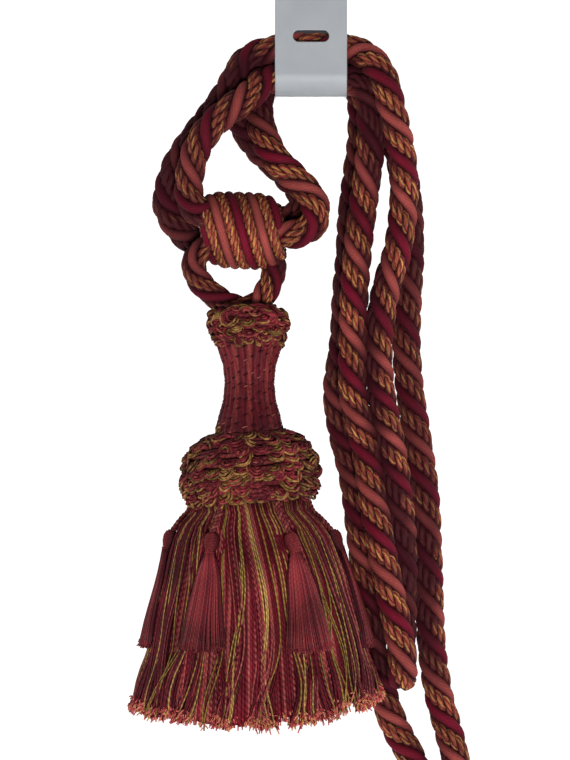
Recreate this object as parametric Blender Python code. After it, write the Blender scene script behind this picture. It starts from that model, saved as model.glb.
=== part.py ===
"""Curtain tieback tassel hung by its two doubled rope arms on a plain strip hook."""
from math import cos, hypot, pi, sin, tan, tau

import bmesh
import bpy
from mathutils import Quaternion, Vector
from mathutils.geometry import interpolate_bezier

MM = 0.001
GAP = 0.3                      # clearance between touching pieces, mm

# hook: a flat strip folded into a square-bottomed U, open at the top
STRIP_WIDTH = 34.0
STRIP_THICK = 1.2
HOOK_DEPTH = 32.1              # from the back leg's rear face to the front leg's front face
HOOK_BEND = 6.0                # inner radius of the two folds
BACK_TOP = 11.8
FRONT_TOP = 5.0
HOOK_BOTTOM = -52.1
SLOT_SIZE = (17.0, 5.5)
SLOT_HEIGHT = -24.2

# rope: four strands laid together
ROPE_RADIUS = 6.6
ROPE_VALLEY = 0.80             # depth of the grooves between the strands
ROPE_LAY = -42.5               # length of one full turn of the strands, negative for a left-hand lay
NO_TWIST = 1.0e9               # a lay so long that the section never turns
ROPE_STRANDS = 4
ROPE_STEP = 4.5                # spacing of the rings along the rope
LOOP_RADIUS = 5.9

# knot: a barrel of strands wound side by side about the ropes
KNOT_CENTRE = Vector((-32.3, -24.0, -115.5))
KNOT_LENGTH = 40.0
KNOT_RADIUS = 18.6
KNOT_BAND = 4.75               # width of one wound strand
KNOT_RELIEF = 0.8
KNOT_TILT = 4.0                # degrees down to the right

# tassel, top to bottom; every body is centred on the leaning axis below
AXIS_ROWS = (                  # height, x, y
    (-148.0, -30.2, -27.0),
    (-168.0, -29.0, -27.6),
    (-210.0, -29.0, -29.6),
    (-235.0, -29.4, -31.4),
    (-280.0, -26.0, -34.4),
    (-352.0, -24.6, -39.0),
)
RUFF_ROWS = (                  # height, half width
    (-149.5, 9.0), (-151.0, 14.5), (-155.0, 18.0), (-160.0, 18.6), (-165.0, 17.8), (-168.2, 14.0),
)
HEAD_ROWS = (                  # height, half width
    (-168.6, 16.2), (-173.0, 14.6), (-179.0, 12.6), (-187.5, 11.8), (-196.0, 12.6),
    (-203.0, 14.6), (-209.2, 16.2),
)
COLLAR_ROWS = (                # height, half width
    (-210.5, 15.5), (-211.4, 20.0), (-214.4, 25.0), (-219.0, 29.2), (-225.0, 31.4), (-231.0, 32.0),
    (-237.0, 31.6), (-242.0, 30.2), (-244.4, 29.0),
)
COLLAR_TILT = 3.0              # degrees, left side lower
SKIRT_ROWS = (                 # drop below the collar, half width, half depth
    (0.0, 25.5, 22.5),
    (10.0, 36.0, 27.0),
    (28.0, 44.0, 31.0),
    (50.0, 50.5, 32.5),
    (78.0, 57.0, 33.0),
    (104.0, 63.0, 33.5),
)
SKIRT_TOP = -248.4
LOCKS_ROUND = 40
LOCK_ROOTS = (                 # inner and outer edge of each ring of roots, as shares of the half width
    (0.84, 0.97),
    (0.24, 0.72),
)
CORE_HULL = (0.24, 0.68)       # the inner ring hangs between these shares, a full core of wedges
LOCK_STATIONS = ((0.0, 0.10, 0.30, 0.55, 0.80, 1.0), (0.0, 0.12, 0.50, 1.0))
LOCK_THICKNESS = 3.0

# small tassels hung round the skirt on short cords
SMALL_ANGLES = (-126.0, -62.0, 0.0, 62.0, 120.0, 180.0)
SMALL_CORD_RADIUS = 1.7
SMALL_HEAD_ROWS = (            # distance along the head, radius
    (0.0, 1.8), (1.6, 3.1), (4.0, 3.5), (7.0, 2.9), (8.6, 2.2), (10.2, 2.7),
)
SMALL_HEAD_TOP = 8.6           # drop of the head's top and of its neck below the collar
SMALL_NECK = SMALL_HEAD_TOP + SMALL_HEAD_ROWS[-1][0]
SMALL_SKIRT_LENGTH = 46.0
SMALL_SKIRT_HALF = 11.0
SMALL_SKIRT_THICK = 2.0
SMALL_LOCKS = 7
DENT_DEPTH = 5.2               # how far the skirt gives way under a small tassel

# centre line of each rope, mm: across, depth, height
ARM_A_ROUTE = (
    (-46.0, -16.5, -121.8), (-52.0, -16.5, -122.0), (-58.5, -16.5, -119.6), (-64.6, -17.0, -113.0),
    (-68.4, -17.0, -103.7), (-67.4, -17.0, -94.0), (-63.2, -17.0, -82.5), (-56.1, -17.2, -71.7),
    (-48.0, -19.5, -61.5), (-40.5, -20.8, -51.0), (-34.9, -20.8, -41.6), (-28.6, -21.1, -33.4),
    (-20.3, -22.8, -29.4), (-9.9, -23.4, -28.8), (9.0, -23.4, -28.8), (16.0, -23.6, -29.0),
    (22.0, -25.8, -30.8), (28.0, -30.0, -34.8), (32.7, -34.4, -41.5), (35.8, -35.5, -50.0),
    (38.0, -35.2, -60.0), (40.6, -33.2, -70.0), (43.0, -29.0, -82.0), (44.0, -25.4, -98.0),
    (41.5, -23.4, -122.6), (37.7, -23.4, -143.8), (34.9, -23.4, -167.4), (35.8, -23.4, -191.0),
    (39.1, -23.2, -216.9), (42.0, -21.5, -240.0), (43.8, -18.5, -266.4), (43.8, -16.4, -290.0),
    (43.4, -16.0, -308.8), (43.4, -17.8, -321.0), (43.4, -23.4, -327.0), (43.4, -29.2, -321.0),
    (42.0, -31.0, -309.0), (37.7, -31.0, -288.0), (33.0, -29.5, -264.4), (27.3, -26.0, -240.0),
    (22.0, -24.0, -217.0), (16.5, -23.6, -202.7), (13.7, -23.4, -188.6), (15.1, -23.4, -167.4),
    (17.0, -23.4, -148.5), (20.6, -23.4, -124.9), (25.0, -23.8, -101.4), (27.6, -24.8, -82.0),
    (28.5, -25.5, -70.0), (28.3, -25.5, -61.0), (27.0, -25.5, -54.0), (24.5, -25.2, -48.5),
    (20.6, -24.2, -44.9), (16.0, -23.5, -43.6), (9.0, -23.4, -43.4), (-9.9, -23.4, -43.4),
    (-16.0, -23.6, -43.6), (-21.5, -25.6, -45.2), (-26.5, -31.0, -50.0), (-34.5, -34.5, -56.5),
    (-45.0, -34.5, -65.0), (-52.8, -33.0, -75.4), (-56.6, -31.5, -87.2), (-57.6, -31.0, -97.6),
    (-54.5, -31.0, -105.0), (-48.0, -31.0, -109.0), (-42.0, -31.0, -110.0),
)
ARM_B_ROUTE = (
    (-20.0, -16.0, -111.0), (-13.0, -16.0, -110.2), (-6.1, -15.6, -107.0), (-3.7, -14.0, -99.5),
    (-9.0, -11.5, -91.6), (-14.5, -9.6, -85.4), (-21.0, -8.2, -79.5), (-27.0, -7.3, -73.0),
    (-31.5, -7.2, -66.0), (-35.5, -7.2, -57.0), (-36.8, -7.2, -47.0), (-34.5, -7.2, -38.0),
    (-28.0, -7.3, -31.5), (-19.0, -8.0, -29.4), (-9.9, -8.7, -29.2), (9.0, -8.7, -29.2), (16.0, -9.0, -29.2),
    (22.0, -10.6, -30.8), (28.2, -13.2, -34.8), (32.5, -14.8, -41.0), (35.3, -14.8, -50.0),
    (36.8, -14.8, -60.0), (39.5, -13.8, -70.0), (43.0, -11.8, -82.0), (45.8, -9.8, -95.0),
    (47.2, -8.8, -108.0),
    (47.6, -8.7, -124.9), (46.7, -8.7, -148.5), (46.2, -8.7, -167.4), (48.1, -8.7, -189.5),
    (51.9, -8.7, -216.9), (54.7, -8.7, -240.0), (56.1, -8.7, -266.4), (57.5, -8.7, -290.0),
    (58.5, -8.7, -313.1), (61.3, -8.7, -336.7), (65.5, -8.9, -352.2), (69.3, -9.2, -367.8),
    (70.3, -9.4, -379.6), (65.5, -9.5, -387.6), (58.0, -9.5, -387.1), (53.3, -9.3, -378.6),
    (47.6, -9.0, -365.4), (40.5, -8.8, -352.2), (34.9, -8.7, -336.7), (30.2, -8.4, -315.9),
    (27.3, -8.5, -299.4), (22.2, -8.7, -266.4), (17.0, -8.7, -233.4), (11.8, -8.7, -209.8),
    (9.9, -8.7, -191.0), (10.4, -8.7, -167.4), (12.7, -8.7, -148.5), (16.0, -8.7, -127.3),
    (19.8, -8.7, -106.1), (22.4, -7.8, -86.0), (24.2, -7.2, -72.0), (24.6, -7.0, -61.0),
    (24.3, -7.0, -53.5), (23.2, -7.2, -48.4), (20.6, -7.8, -45.1), (16.0, -8.5, -43.9),
    (9.0, -8.7, -43.8), (-9.9, -8.7, -43.8), (-16.2, -8.8, -43.8), (-21.2, -10.3, -45.4),
    (-24.0, -12.8, -50.3), (-24.8, -16.5, -57.0), (-23.6, -20.5, -65.0), (-20.5, -24.0, -74.5),
    (-15.6, -26.5, -83.0),
    (-6.6, -29.5, -92.0), (1.4, -31.0, -102.3), (1.4, -31.0, -112.0), (-5.2, -31.0, -117.0),
    (-12.3, -31.0, -117.6), (-20.0, -31.0, -117.2),
)
LOOP_ROUTE = (
    (-45.0, -30.0, -122.0), (-51.0, -30.0, -125.0), (-54.8, -29.6, -129.4), (-55.0, -29.0, -134.4),
    (-52.0, -28.2, -140.4), (-46.0, -27.4, -146.0), (-39.0, -27.0, -150.4), (-31.6, -27.0, -152.4),
    (-25.2, -26.6, -150.0), (-20.6, -26.0, -143.6), (-18.0, -25.2, -137.0), (-17.4, -24.6, -130.0),
    (-19.0, -24.0, -122.0),
)


def tint(name, colour, roughness, metallic=0.0):
    material = bpy.data.materials.new(name)
    material.use_nodes = True
    shader = material.node_tree.nodes["Principled BSDF"]
    shader.inputs["Base Color"].default_value = (*colour, 1.0)
    shader.inputs["Roughness"].default_value = roughness
    shader.inputs["Metallic"].default_value = metallic
    return material


def add_solid(name, verts, faces, material):
    """A mesh object from points in mm."""
    mesh = bpy.data.meshes.new(name)
    mesh.from_pydata([tuple(c * MM for c in v) for v in verts], [], faces)
    skin = bmesh.new()
    skin.from_mesh(mesh)
    bmesh.ops.recalc_face_normals(skin, faces=skin.faces)
    skin.to_mesh(mesh)
    skin.free()
    mesh.shade_smooth()
    mesh.set_sharp_from_angle(angle=0.7)
    piece = bpy.data.objects.new(name, mesh)
    bpy.context.collection.objects.link(piece)
    mesh.materials.append(material)
    return piece


def cut(piece, cutter):
    """Take the cutter's space out of a piece; the cutter stays only as a guide."""
    cutter.hide_render = True
    cutter.display_type = "WIRE"
    trim = piece.modifiers.new("seat", "BOOLEAN")
    trim.operation = "DIFFERENCE"
    trim.solver = "EXACT"
    trim.object = cutter


def table_value(rows, key, column):
    """Straight-line reading of a table whose first column rises or falls steadily."""
    rising = rows[-1][0] > rows[0][0]
    for low, high in zip(rows, rows[1:]):
        if (key <= high[0]) == rising or high is rows[-1]:
            share = (key - low[0]) / (high[0] - low[0])
            return low[column] + (high[column] - low[column]) * min(max(share, 0.0), 1.0)


def denser(rows, parts):
    """The same profile with each span split into equal parts."""
    result = []
    for low, high in zip(rows, rows[1:]):
        for p in range(parts):
            share = p / parts
            result.append(tuple(a + (b - a) * share for a, b in zip(low, high)))
    result.append(rows[-1])
    return result


def axis_point(height):
    return Vector((table_value(AXIS_ROWS, height, 1), table_value(AXIS_ROWS, height, 2), height))


def smooth_path(route, step):
    """Evenly spaced points on one smooth curve through the route's points."""
    points = [Vector(p) for p in route]
    dense = []
    for i in range(len(points) - 1):
        before = points[max(i - 1, 0)]
        after = points[min(i + 2, len(points) - 1)]
        span = (points[i + 1] - points[i]).length
        lead = (points[i + 1] - before).normalized() * span / 3
        trail = (after - points[i]).normalized() * span / 3
        start, end = points[i], points[i + 1]
        bezier = interpolate_bezier(start, start + lead, end - trail, end, 12)
        dense.extend(bezier[:-1])
    dense.append(points[-1])
    lengths = [0.0]
    for a, b in zip(dense, dense[1:]):
        lengths.append(lengths[-1] + (b - a).length)
    count = max(int(round(lengths[-1] / step)), 2)
    path = []
    seek = 0
    for i in range(count + 1):
        want = lengths[-1] * i / count
        while seek < len(dense) - 2 and lengths[seek + 1] < want:
            seek += 1
        share = (want - lengths[seek]) / max(lengths[seek + 1] - lengths[seek], 1e-9)
        path.append(dense[seek].lerp(dense[seek + 1], share))
    return path


def path_frames(path):
    """Point, side and normal at each path point, carried along without twist."""
    frames = []
    side = None
    last = None
    for i, point in enumerate(path):
        ahead = path[min(i + 1, len(path) - 1)]
        behind = path[max(i - 1, 0)]
        tangent = (ahead - behind).normalized()
        if side is None:
            side = tangent.orthogonal().normalized()
        else:
            side = last.rotation_difference(tangent) @ side
            side = (side - tangent * side.dot(tangent)).normalized()
        last = tangent
        frames.append((point, side, tangent.cross(side)))
    return frames


def loft(rings):
    """Verts and faces of a closed body through rings of equal count, with flat ends."""
    around = len(rings[0])
    verts = [point for ring in rings for point in ring]
    faces = []
    for r in range(len(rings) - 1):
        base = r * around
        for i in range(around):
            j = (i + 1) % around
            faces.append((base + i, base + j, base + around + j, base + around + i))
    faces.append(tuple(reversed(range(around))))
    faces.append(tuple(range((len(rings) - 1) * around, len(rings) * around)))
    return verts, faces


def twisted_rope(name, route, radius, lay, strands, step, material, valley=ROPE_VALLEY):
    """A laid rope: a lobed section that turns once in each lay."""
    path = smooth_path(route, step)
    rings = []
    travelled = 0.0
    for i, (point, side, normal) in enumerate(path_frames(path)):
        if i:
            travelled += (point - path[i - 1]).length
        turn = tau * travelled / lay
        ring = []
        for k in range(strands * 2):
            reach = radius if k % 2 == 0 else radius * valley
            angle = turn + tau * k / (strands * 2)
            ring.append(point + (side * cos(angle) + normal * sin(angle)) * reach)
        rings.append(ring)
    verts, faces = loft(rings)
    return add_solid(name, verts, faces, material)


def build_hook(material):
    """One bent strip: its outline is drawn from the side and pushed across the width."""
    inner_corner, outer_corner = HOOK_BEND, HOOK_BEND + STRIP_THICK
    centre_low = HOOK_BOTTOM + outer_corner
    back_centre = -outer_corner
    front_centre = -HOOK_DEPTH + outer_corner
    steps = 4

    def corner(centre_y, radius, start, end):
        arc = []
        for k in range(steps + 1):
            angle = start + (end - start) * k / steps
            arc.append((centre_y + radius * cos(angle), centre_low + radius * sin(angle)))
        return arc

    outline = [(0.0, BACK_TOP)]
    outline += corner(back_centre, outer_corner, 0.0, -pi / 2)
    outline += corner(front_centre, outer_corner, -pi / 2, -pi)
    outline += [(-HOOK_DEPTH, FRONT_TOP), (-HOOK_DEPTH + STRIP_THICK, FRONT_TOP)]
    outline += corner(front_centre, inner_corner, -pi, -pi / 2)
    outline += corner(back_centre, inner_corner, -pi / 2, 0.0)
    outline += [(-STRIP_THICK, BACK_TOP)]
    half = STRIP_WIDTH / 2
    rings = [[Vector((x, y, z)) for y, z in outline] for x in (half, -half)]
    verts, faces = loft(rings)
    hook = add_solid("hook", verts, faces, material)
    slot_cutter(-HOOK_DEPTH + STRIP_THICK / 2, hook, material)


def slot_cutter(depth, hook, material):
    """The round-ended slot through the front leg of the strip."""
    long_half = SLOT_SIZE[0] / 2 - SLOT_SIZE[1] / 2
    radius = SLOT_SIZE[1] / 2
    outline = []
    for side in (1, -1):
        for k in range(9):
            angle = -pi / 2 + pi * k / 8
            outline.append((side * (long_half + radius * cos(angle)), side * radius * sin(angle)))
    rings = []
    for push in (2.0, -2.0):
        rings.append([Vector((x, depth + push, SLOT_HEIGHT + z)) for x, z in outline])
    verts, faces = loft(rings)
    cut(hook, add_solid("front_slot", verts, faces, material))


def knot_radius(along):
    """Plain radius of the barrel at a share from -1, left end, to 1, right end."""
    return KNOT_RADIUS * (1.0 - 0.34 * abs(along) ** 5)


def knot_rings(extra, relief, around, rows):
    lean = Quaternion((0, 1, 0), KNOT_TILT * pi / 180)
    rings = []
    for r in range(rows + 1):
        along = -1 + 2 * r / rows
        ring = []
        for k in range(around):
            angle = tau * k / around
            across = along * (KNOT_LENGTH / 2 + extra)
            wave = cos(tau * (across / KNOT_BAND) + ROPE_STRANDS * angle)
            radius = knot_radius(along) + extra + relief * wave * (1 - along ** 8)
            offset = Vector((across, radius * sin(angle), radius * cos(angle)))
            ring.append(KNOT_CENTRE + lean @ offset)
        rings.append(ring)
    return rings


def turned_rings(rows, around, bump, flatten=1.0, tilt=0.0):
    """Rings of a body turned about the tassel's axis; bump(angle, row) adds to its half width."""
    lean = Quaternion((0, 1, 0), -tilt * pi / 180)
    middle = axis_point(sum(row[0] for row in rows) / len(rows))
    rings = []
    for r, (height, half) in enumerate(rows):
        centre = axis_point(height)
        ring = []
        for k in range(around):
            angle = tau * k / around
            radius = half + bump(angle, r)
            point = centre + Vector((radius * cos(angle), radius * sin(angle) * flatten, 0))
            ring.append(middle + lean @ (point - middle))
        rings.append(ring)
    rings.reverse()
    return rings


def collar_profile():
    return denser(COLLAR_ROWS, 2)


def collar_face(row, across):
    """Height of the collar's tilted top or underside at a place across the tassel."""
    tilt = COLLAR_TILT * pi / 180
    middle = axis_point(sum(height for height, half in collar_profile()) / len(collar_profile()))
    return middle.z + (row[0] - middle.z) / cos(tilt) + (across - middle.x) * tan(tilt)


def girth_step(drop, angle):
    """Length of skirt surface, in mm, for one radian about the axis."""
    half = table_value(SKIRT_ROWS, drop, 1)
    depth = table_value(SKIRT_ROWS, drop, 2)
    return hypot(half * sin(angle), depth * cos(angle))


def small_half_width(drop):
    """Half the width of a small tassel at a drop below the collar."""
    opened = min(max((drop - SMALL_NECK) / SMALL_SKIRT_LENGTH, 0.0), 1.0)
    return 3.5 + (SMALL_SKIRT_HALF - 3.5) * opened ** 0.8


def skirt_dent(drop, angle):
    """How far the skirt gives way, in mm, where a small tassel lies on it."""
    past_foot = (drop - SMALL_NECK - SMALL_SKIRT_LENGTH) / 12.0
    fade = min(max(1.0 - past_foot, 0.0), 1.0) * min(drop / 7.0, 1.0)
    deepest = 0.0
    for degrees in SMALL_ANGLES:
        away = abs((angle - degrees * pi / 180 + pi) % tau - pi) * girth_step(drop, angle)
        room = small_half_width(drop) + 3.0
        deepest = max(deepest, 1.0 - max(away - room, 0.0) / 4.0)
    return DENT_DEPTH * max(deepest, 0.0) * fade


def skirt_point(drop, angle, share=1.0, inward=0.0):
    """A point of the skirt: a share of its half width, less a distance inward."""
    centre = axis_point(SKIRT_TOP - drop)
    half = table_value(SKIRT_ROWS, drop, 1) * share - inward
    depth = table_value(SKIRT_ROWS, drop, 2) * share - inward
    return centre + Vector((half * cos(angle), depth * sin(angle), 0))


def foot_drop(angle, column):
    """Length of a lock: longest in front and behind, shorter at the sides, slightly ragged."""
    ragged = 1.4 * sin(column * 2.7) + 0.9 * sin(column * 5.1 + 1.0)
    lift = 9.0 * abs(cos(angle)) ** 3 + 3.5 * max(cos(angle), 0.0)
    return 103.5 - lift + ragged


def build_skirt(material):
    """A thin backing whose underside carries two rings of hanging locks."""
    edges = (0.20, 0.78, 1.00)
    verts, faces = [], []

    def ring_of(share, height):
        start = len(verts)
        for k in range(LOCKS_ROUND):
            point = skirt_point(0.0, tau * (k + 0.5) / LOCKS_ROUND, share)
            verts.append(Vector((point.x, point.y, height)))
        return start

    top = ring_of(1.0, SKIRT_TOP)
    for point in verts:
        point.z = collar_face(COLLAR_ROWS[-1], point.x) - GAP
    below = [ring_of(share, SKIRT_TOP) for share in reversed(edges)]
    hub_top = len(verts)
    hub = axis_point(SKIRT_TOP)
    hub.z = collar_face(COLLAR_ROWS[-1], hub.x) - GAP
    verts.append(hub)
    verts.append(axis_point(SKIRT_TOP))
    for k in range(LOCKS_ROUND):
        n = (k + 1) % LOCKS_ROUND
        faces.append((hub_top, top + k, top + n))
        faces.append((hub_top + 1, below[-1] + n, below[-1] + k))
        faces.append((top + n, top + k, below[0] + k, below[0] + n))
    for ring in range(len(LOCK_ROOTS)):
        for k in range(LOCKS_ROUND):
            n = (k + 1) % LOCKS_ROUND
            cell = (below[ring] + k, below[ring + 1] + k, below[ring + 1] + n, below[ring] + n)
            add_lock(verts, faces, cell, ring, n)
    add_solid("tassel_skirt", verts, faces, material)


def add_lock(verts, faces, cell, ring, column):
    """One four-sided lock grown from a cell of the backing: a strap outside, a wedge inside."""
    middle = tau * column / LOCKS_ROUND
    spread = tau / LOCKS_ROUND
    whole = foot_drop(middle, column + 17 * ring) - (4.0 + 2.0 * (column % 2)) * ring
    last = cell
    for share in LOCK_STATIONS[ring]:
        drop = whole * share
        sway = 0.10 * spread * sin(column * 1.9 + 5.0 * share + ring) * share
        half_turn = spread * 0.40
        if share == 0.0:
            (low, high), out, back = LOCK_ROOTS[ring], 0.0, 0.0
        elif ring:
            (low, high), out, back = CORE_HULL, 0.0, 0.0
        else:
            low = high = 1.0
            out = skirt_dent(drop, middle) - 0.5 * sin(column * 3.3 + 7.0 * share) * share
            back = out + LOCK_THICKNESS * (0.8 + 0.4 * share)
        ring_now = []
        for side, reach, inward in ((-1, high, out), (-1, low, back), (1, low, back), (1, high, out)):
            ring_now.append(len(verts))
            verts.append(skirt_point(drop, middle + sway + side * half_turn, reach, inward))
        for i in range(4):
            j = (i + 1) % 4
            faces.append((last[i], ring_now[i], ring_now[j], last[j]))
        last = ring_now
    faces.append(tuple(last))


def build_small_tassel(number, degrees, material):
    """A short twisted cord and the little bound tassel on its end, lying on the skirt."""
    angle = degrees * pi / 180
    root = skirt_point(0.0, angle, 1.0, -2.4)
    root.z = collar_face(COLLAR_ROWS[-1], root.x) - GAP
    cord_route = [root, skirt_point(1.5, angle, 1.0, -2.0), skirt_point(4.5, angle, 1.0, -0.9),
                  skirt_point(SMALL_HEAD_TOP - GAP, angle)]
    twisted_rope(f"small_cord_{number}", cord_route, SMALL_CORD_RADIUS, 7.0, 3, 1.7, material,
                 valley=0.78)
    start = skirt_point(SMALL_HEAD_TOP, angle)
    down = (skirt_point(SMALL_NECK, angle) - start).normalized()
    ahead = skirt_point(SMALL_HEAD_TOP, angle + 0.02)
    around = (ahead - start).normalized()
    outward = around.cross(down).normalized()
    around = down.cross(outward).normalized()
    sides = SMALL_LOCKS * 2 + 2
    rings = []
    for along, radius in SMALL_HEAD_ROWS:
        ring = []
        for k in range(sides):
            turn = tau * k / sides
            ring.append(start + down * along + (around * cos(turn) + outward * sin(turn)) * radius)
        rings.append(ring)
    verts, faces = loft(rings)
    faces.pop()
    rim = [len(verts) - sides + k for k in range(sides)]
    add_small_locks(verts, faces, rim, angle, outward)
    add_solid(f"small_tassel_{number}", verts, faces, material)


def add_small_locks(verts, faces, rim, angle, outward):
    """The rim of the head, read in pairs front to back, opens into a flat fan of locks."""
    sides = len(rim)
    half = sides // 2
    front = [rim[k] for k in range(half + 1)]
    back = [rim[(sides - k) % sides] for k in range(half + 1)]
    lanes = half - 2
    for cell in range(half):
        quad = [front[cell], front[cell + 1], back[cell + 1], back[cell]]
        if cell in (0, half - 1):
            faces.append(tuple(dict.fromkeys(quad)))
            continue
        lane = 1 - 2 * (cell - 0.5) / lanes
        last = quad
        for share in (0.14, 0.5, 1.0):
            drop = SMALL_NECK + SMALL_SKIRT_LENGTH * share - 1.5 * abs(lane) * share
            width = small_half_width(drop) if share > 0.2 else 4.6
            step = girth_step(drop, angle)
            thick = outward * (SMALL_SKIRT_THICK * (0.6 + 0.4 * share))
            ring_now = []
            for toward, lift in ((0.84, 1), (-0.84, 1), (-0.84, -1), (0.84, -1)):
                reach = width * (lane + toward / lanes)
                ring_now.append(len(verts))
                verts.append(skirt_point(drop, angle + reach / step) + thick * lift)
            for i in range(4):
                j = (i + 1) % 4
                faces.append((last[i], last[j], ring_now[j], ring_now[i]))
            last = ring_now
        faces.append(tuple(last))


def main():
    for old in list(bpy.data.objects):
        bpy.data.objects.remove(old, do_unlink=True)

    steel = tint("painted_strip", (0.42, 0.43, 0.44), 0.38)
    rope = tint("laid_rope", (0.16, 0.035, 0.03), 0.75)
    wound = tint("wound_rope", (0.20, 0.05, 0.035), 0.75)
    satin = tint("satin_yarn", (0.24, 0.05, 0.055), 0.55)
    looped = tint("looped_yarn", (0.14, 0.035, 0.03), 0.80)
    fringe = tint("fringe_yarn", (0.16, 0.02, 0.035), 0.65)
    dusty = tint("dusty_rose_yarn", (0.25, 0.05, 0.06), 0.60)

    build_hook(steel)

    seat = loft(knot_rings(KNOT_RELIEF + GAP, 0.0, 20, 8))
    for name, route, radius in (("rope_arm_a", ARM_A_ROUTE, ROPE_RADIUS),
                                ("rope_arm_b", ARM_B_ROUTE, ROPE_RADIUS),
                                ("tassel_loop", LOOP_ROUTE, LOOP_RADIUS)):
        strand = twisted_rope(name, route, radius, ROPE_LAY, ROPE_STRANDS, ROPE_STEP, rope)
        cut(strand, add_solid(name + "_seat", *seat, rope))
    add_solid("wound_knot", *loft(knot_rings(0.0, KNOT_RELIEF, 24, 17)), wound)

    def ruff_bump(angle, row):
        return 1.5 * abs(sin(3 * angle + 0.9 * row)) if 0 < row < 10 else 0.0

    def head_bump(angle, row):
        return 0.35 * cos(22 * angle)

    def collar_bump(angle, row):
        wave = cos(16 * angle + pi * (row // 2 % 2)) * (1 if row % 2 else -0.6)
        return 1.2 * wave if 1 < row < 15 else 0.0

    ruff = add_solid("top_ruff", *loft(turned_rings(denser(RUFF_ROWS, 2), 30, ruff_bump)), looped)
    groove_radius = (LOOP_RADIUS + GAP) / cos(pi / (2 * ROPE_STRANDS))
    cut(ruff, twisted_rope("loop_groove", LOOP_ROUTE, groove_radius, NO_TWIST, ROPE_STRANDS,
                           ROPE_STEP, rope, valley=1.0))
    head = turned_rings(HEAD_ROWS, 44, head_bump)
    for point in head[0]:
        point.z = collar_face(COLLAR_ROWS[0], point.x) + GAP
    add_solid("tassel_head", *loft(head), satin)
    collar = turned_rings(collar_profile(), 48, collar_bump, 0.90, COLLAR_TILT)
    add_solid("collar_ruff", *loft(collar), looped)
    build_skirt(fringe)
    for number, degrees in enumerate(SMALL_ANGLES, 1):
        build_small_tassel(number, degrees, dusty)


main()
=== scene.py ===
from math import cos, pi, radians, sin, tau

import bpy
import numpy as np
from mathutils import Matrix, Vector
from mathutils.geometry import interpolate_bezier


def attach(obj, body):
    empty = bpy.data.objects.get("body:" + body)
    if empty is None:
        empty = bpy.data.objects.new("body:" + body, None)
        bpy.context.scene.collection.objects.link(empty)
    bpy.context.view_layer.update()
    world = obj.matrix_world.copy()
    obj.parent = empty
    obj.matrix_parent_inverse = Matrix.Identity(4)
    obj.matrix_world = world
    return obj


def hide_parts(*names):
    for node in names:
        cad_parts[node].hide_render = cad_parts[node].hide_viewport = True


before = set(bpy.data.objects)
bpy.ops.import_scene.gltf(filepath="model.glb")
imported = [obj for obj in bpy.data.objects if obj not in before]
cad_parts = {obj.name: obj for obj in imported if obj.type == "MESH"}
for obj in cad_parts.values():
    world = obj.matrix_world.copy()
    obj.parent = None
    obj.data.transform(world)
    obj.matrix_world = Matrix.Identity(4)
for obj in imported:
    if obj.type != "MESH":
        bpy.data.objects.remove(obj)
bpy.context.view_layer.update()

mm = 0.001
print("frame loaded:", len(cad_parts), "solids")

cameraSettings = {
    "target": (-0.01226, -0.030, -0.1862),
    "distance": 1.4,
    "frameHeight": 0.3583,     # metres seen from top to bottom at the target
    "sensor": 36.0,
}


def addCamera(settings):
    bpy.ops.object.select_all(action="DESELECT")
    x, y, z = settings["target"]
    bpy.ops.object.camera_add(location=(x, y - settings["distance"], z), rotation=(radians(90), 0, 0))
    camera = bpy.context.object
    camera.name = "studioCamera"
    camera.data.sensor_width = settings["sensor"]
    camera.data.lens = settings["sensor"] * settings["distance"] / settings["frameHeight"]
    bpy.context.scene.camera = camera


addCamera(cameraSettings)


def linearFromHex(code):
    channels = [int(code[i:i + 2], 16) / 255 for i in (1, 3, 5)]
    return (*(c / 12.92 if c <= 0.04045 else ((c + 0.055) / 1.055) ** 2.4 for c in channels), 1.0)


def setInputs(node, inputs):
    # inputs holds numbers, colours and what to link: a socket, or a node for its first output
    for key, value in inputs.items():
        if isinstance(value, bpy.types.Node):
            value = value.outputs[0]
        if isinstance(value, bpy.types.NodeSocket):
            node.id_data.links.new(value, node.inputs[key])
        else:
            node.inputs[key].default_value = value


def addNode(tree, kind, inputs=None, stops=None, **settings):
    # stops are a ramp's places and their hex colours
    node = tree.nodes.new("ShaderNode" + kind)
    for name, value in settings.items():
        setattr(node, name, value)
    setInputs(node, inputs or {})
    if stops:
        elements = node.color_ramp.elements
        while len(elements) < len(stops):
            elements.new(1.0)
        for element, (place, code) in zip(elements, stops.items()):
            element.position = place
            element.color = linearFromHex(code)
    return node


def startMaterial(name, roughness, **constants):
    material = bpy.data.materials.new(name)
    material.use_nodes = True
    shader = material.node_tree.nodes["Principled BSDF"]
    setInputs(shader, {"Roughness": roughness,
                       **{socket.replace("_", " "): value for socket, value in constants.items()}})
    return material, material.node_tree, shader


yarnSettings = {
    "sheenTint": "#d89a86",
    "crown": 0.12,             # painted highlight: how much lighter the crown of a thread is than its middle
    "trade": 0.16,             # how far a mixed ply's threads trade places
    "tradeGrain": (3.0, 0.9, 1.0),
    "fleckStep": 0.55,         # fibre flecks, to a mm along the yarn
    "fleckScale": 2.2,         # coarser than real fibre, so that it shows
    "dyeScale": 55.0,          # patches of dye, to a metre
    "relief": 0.1,             # mm
}


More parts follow.
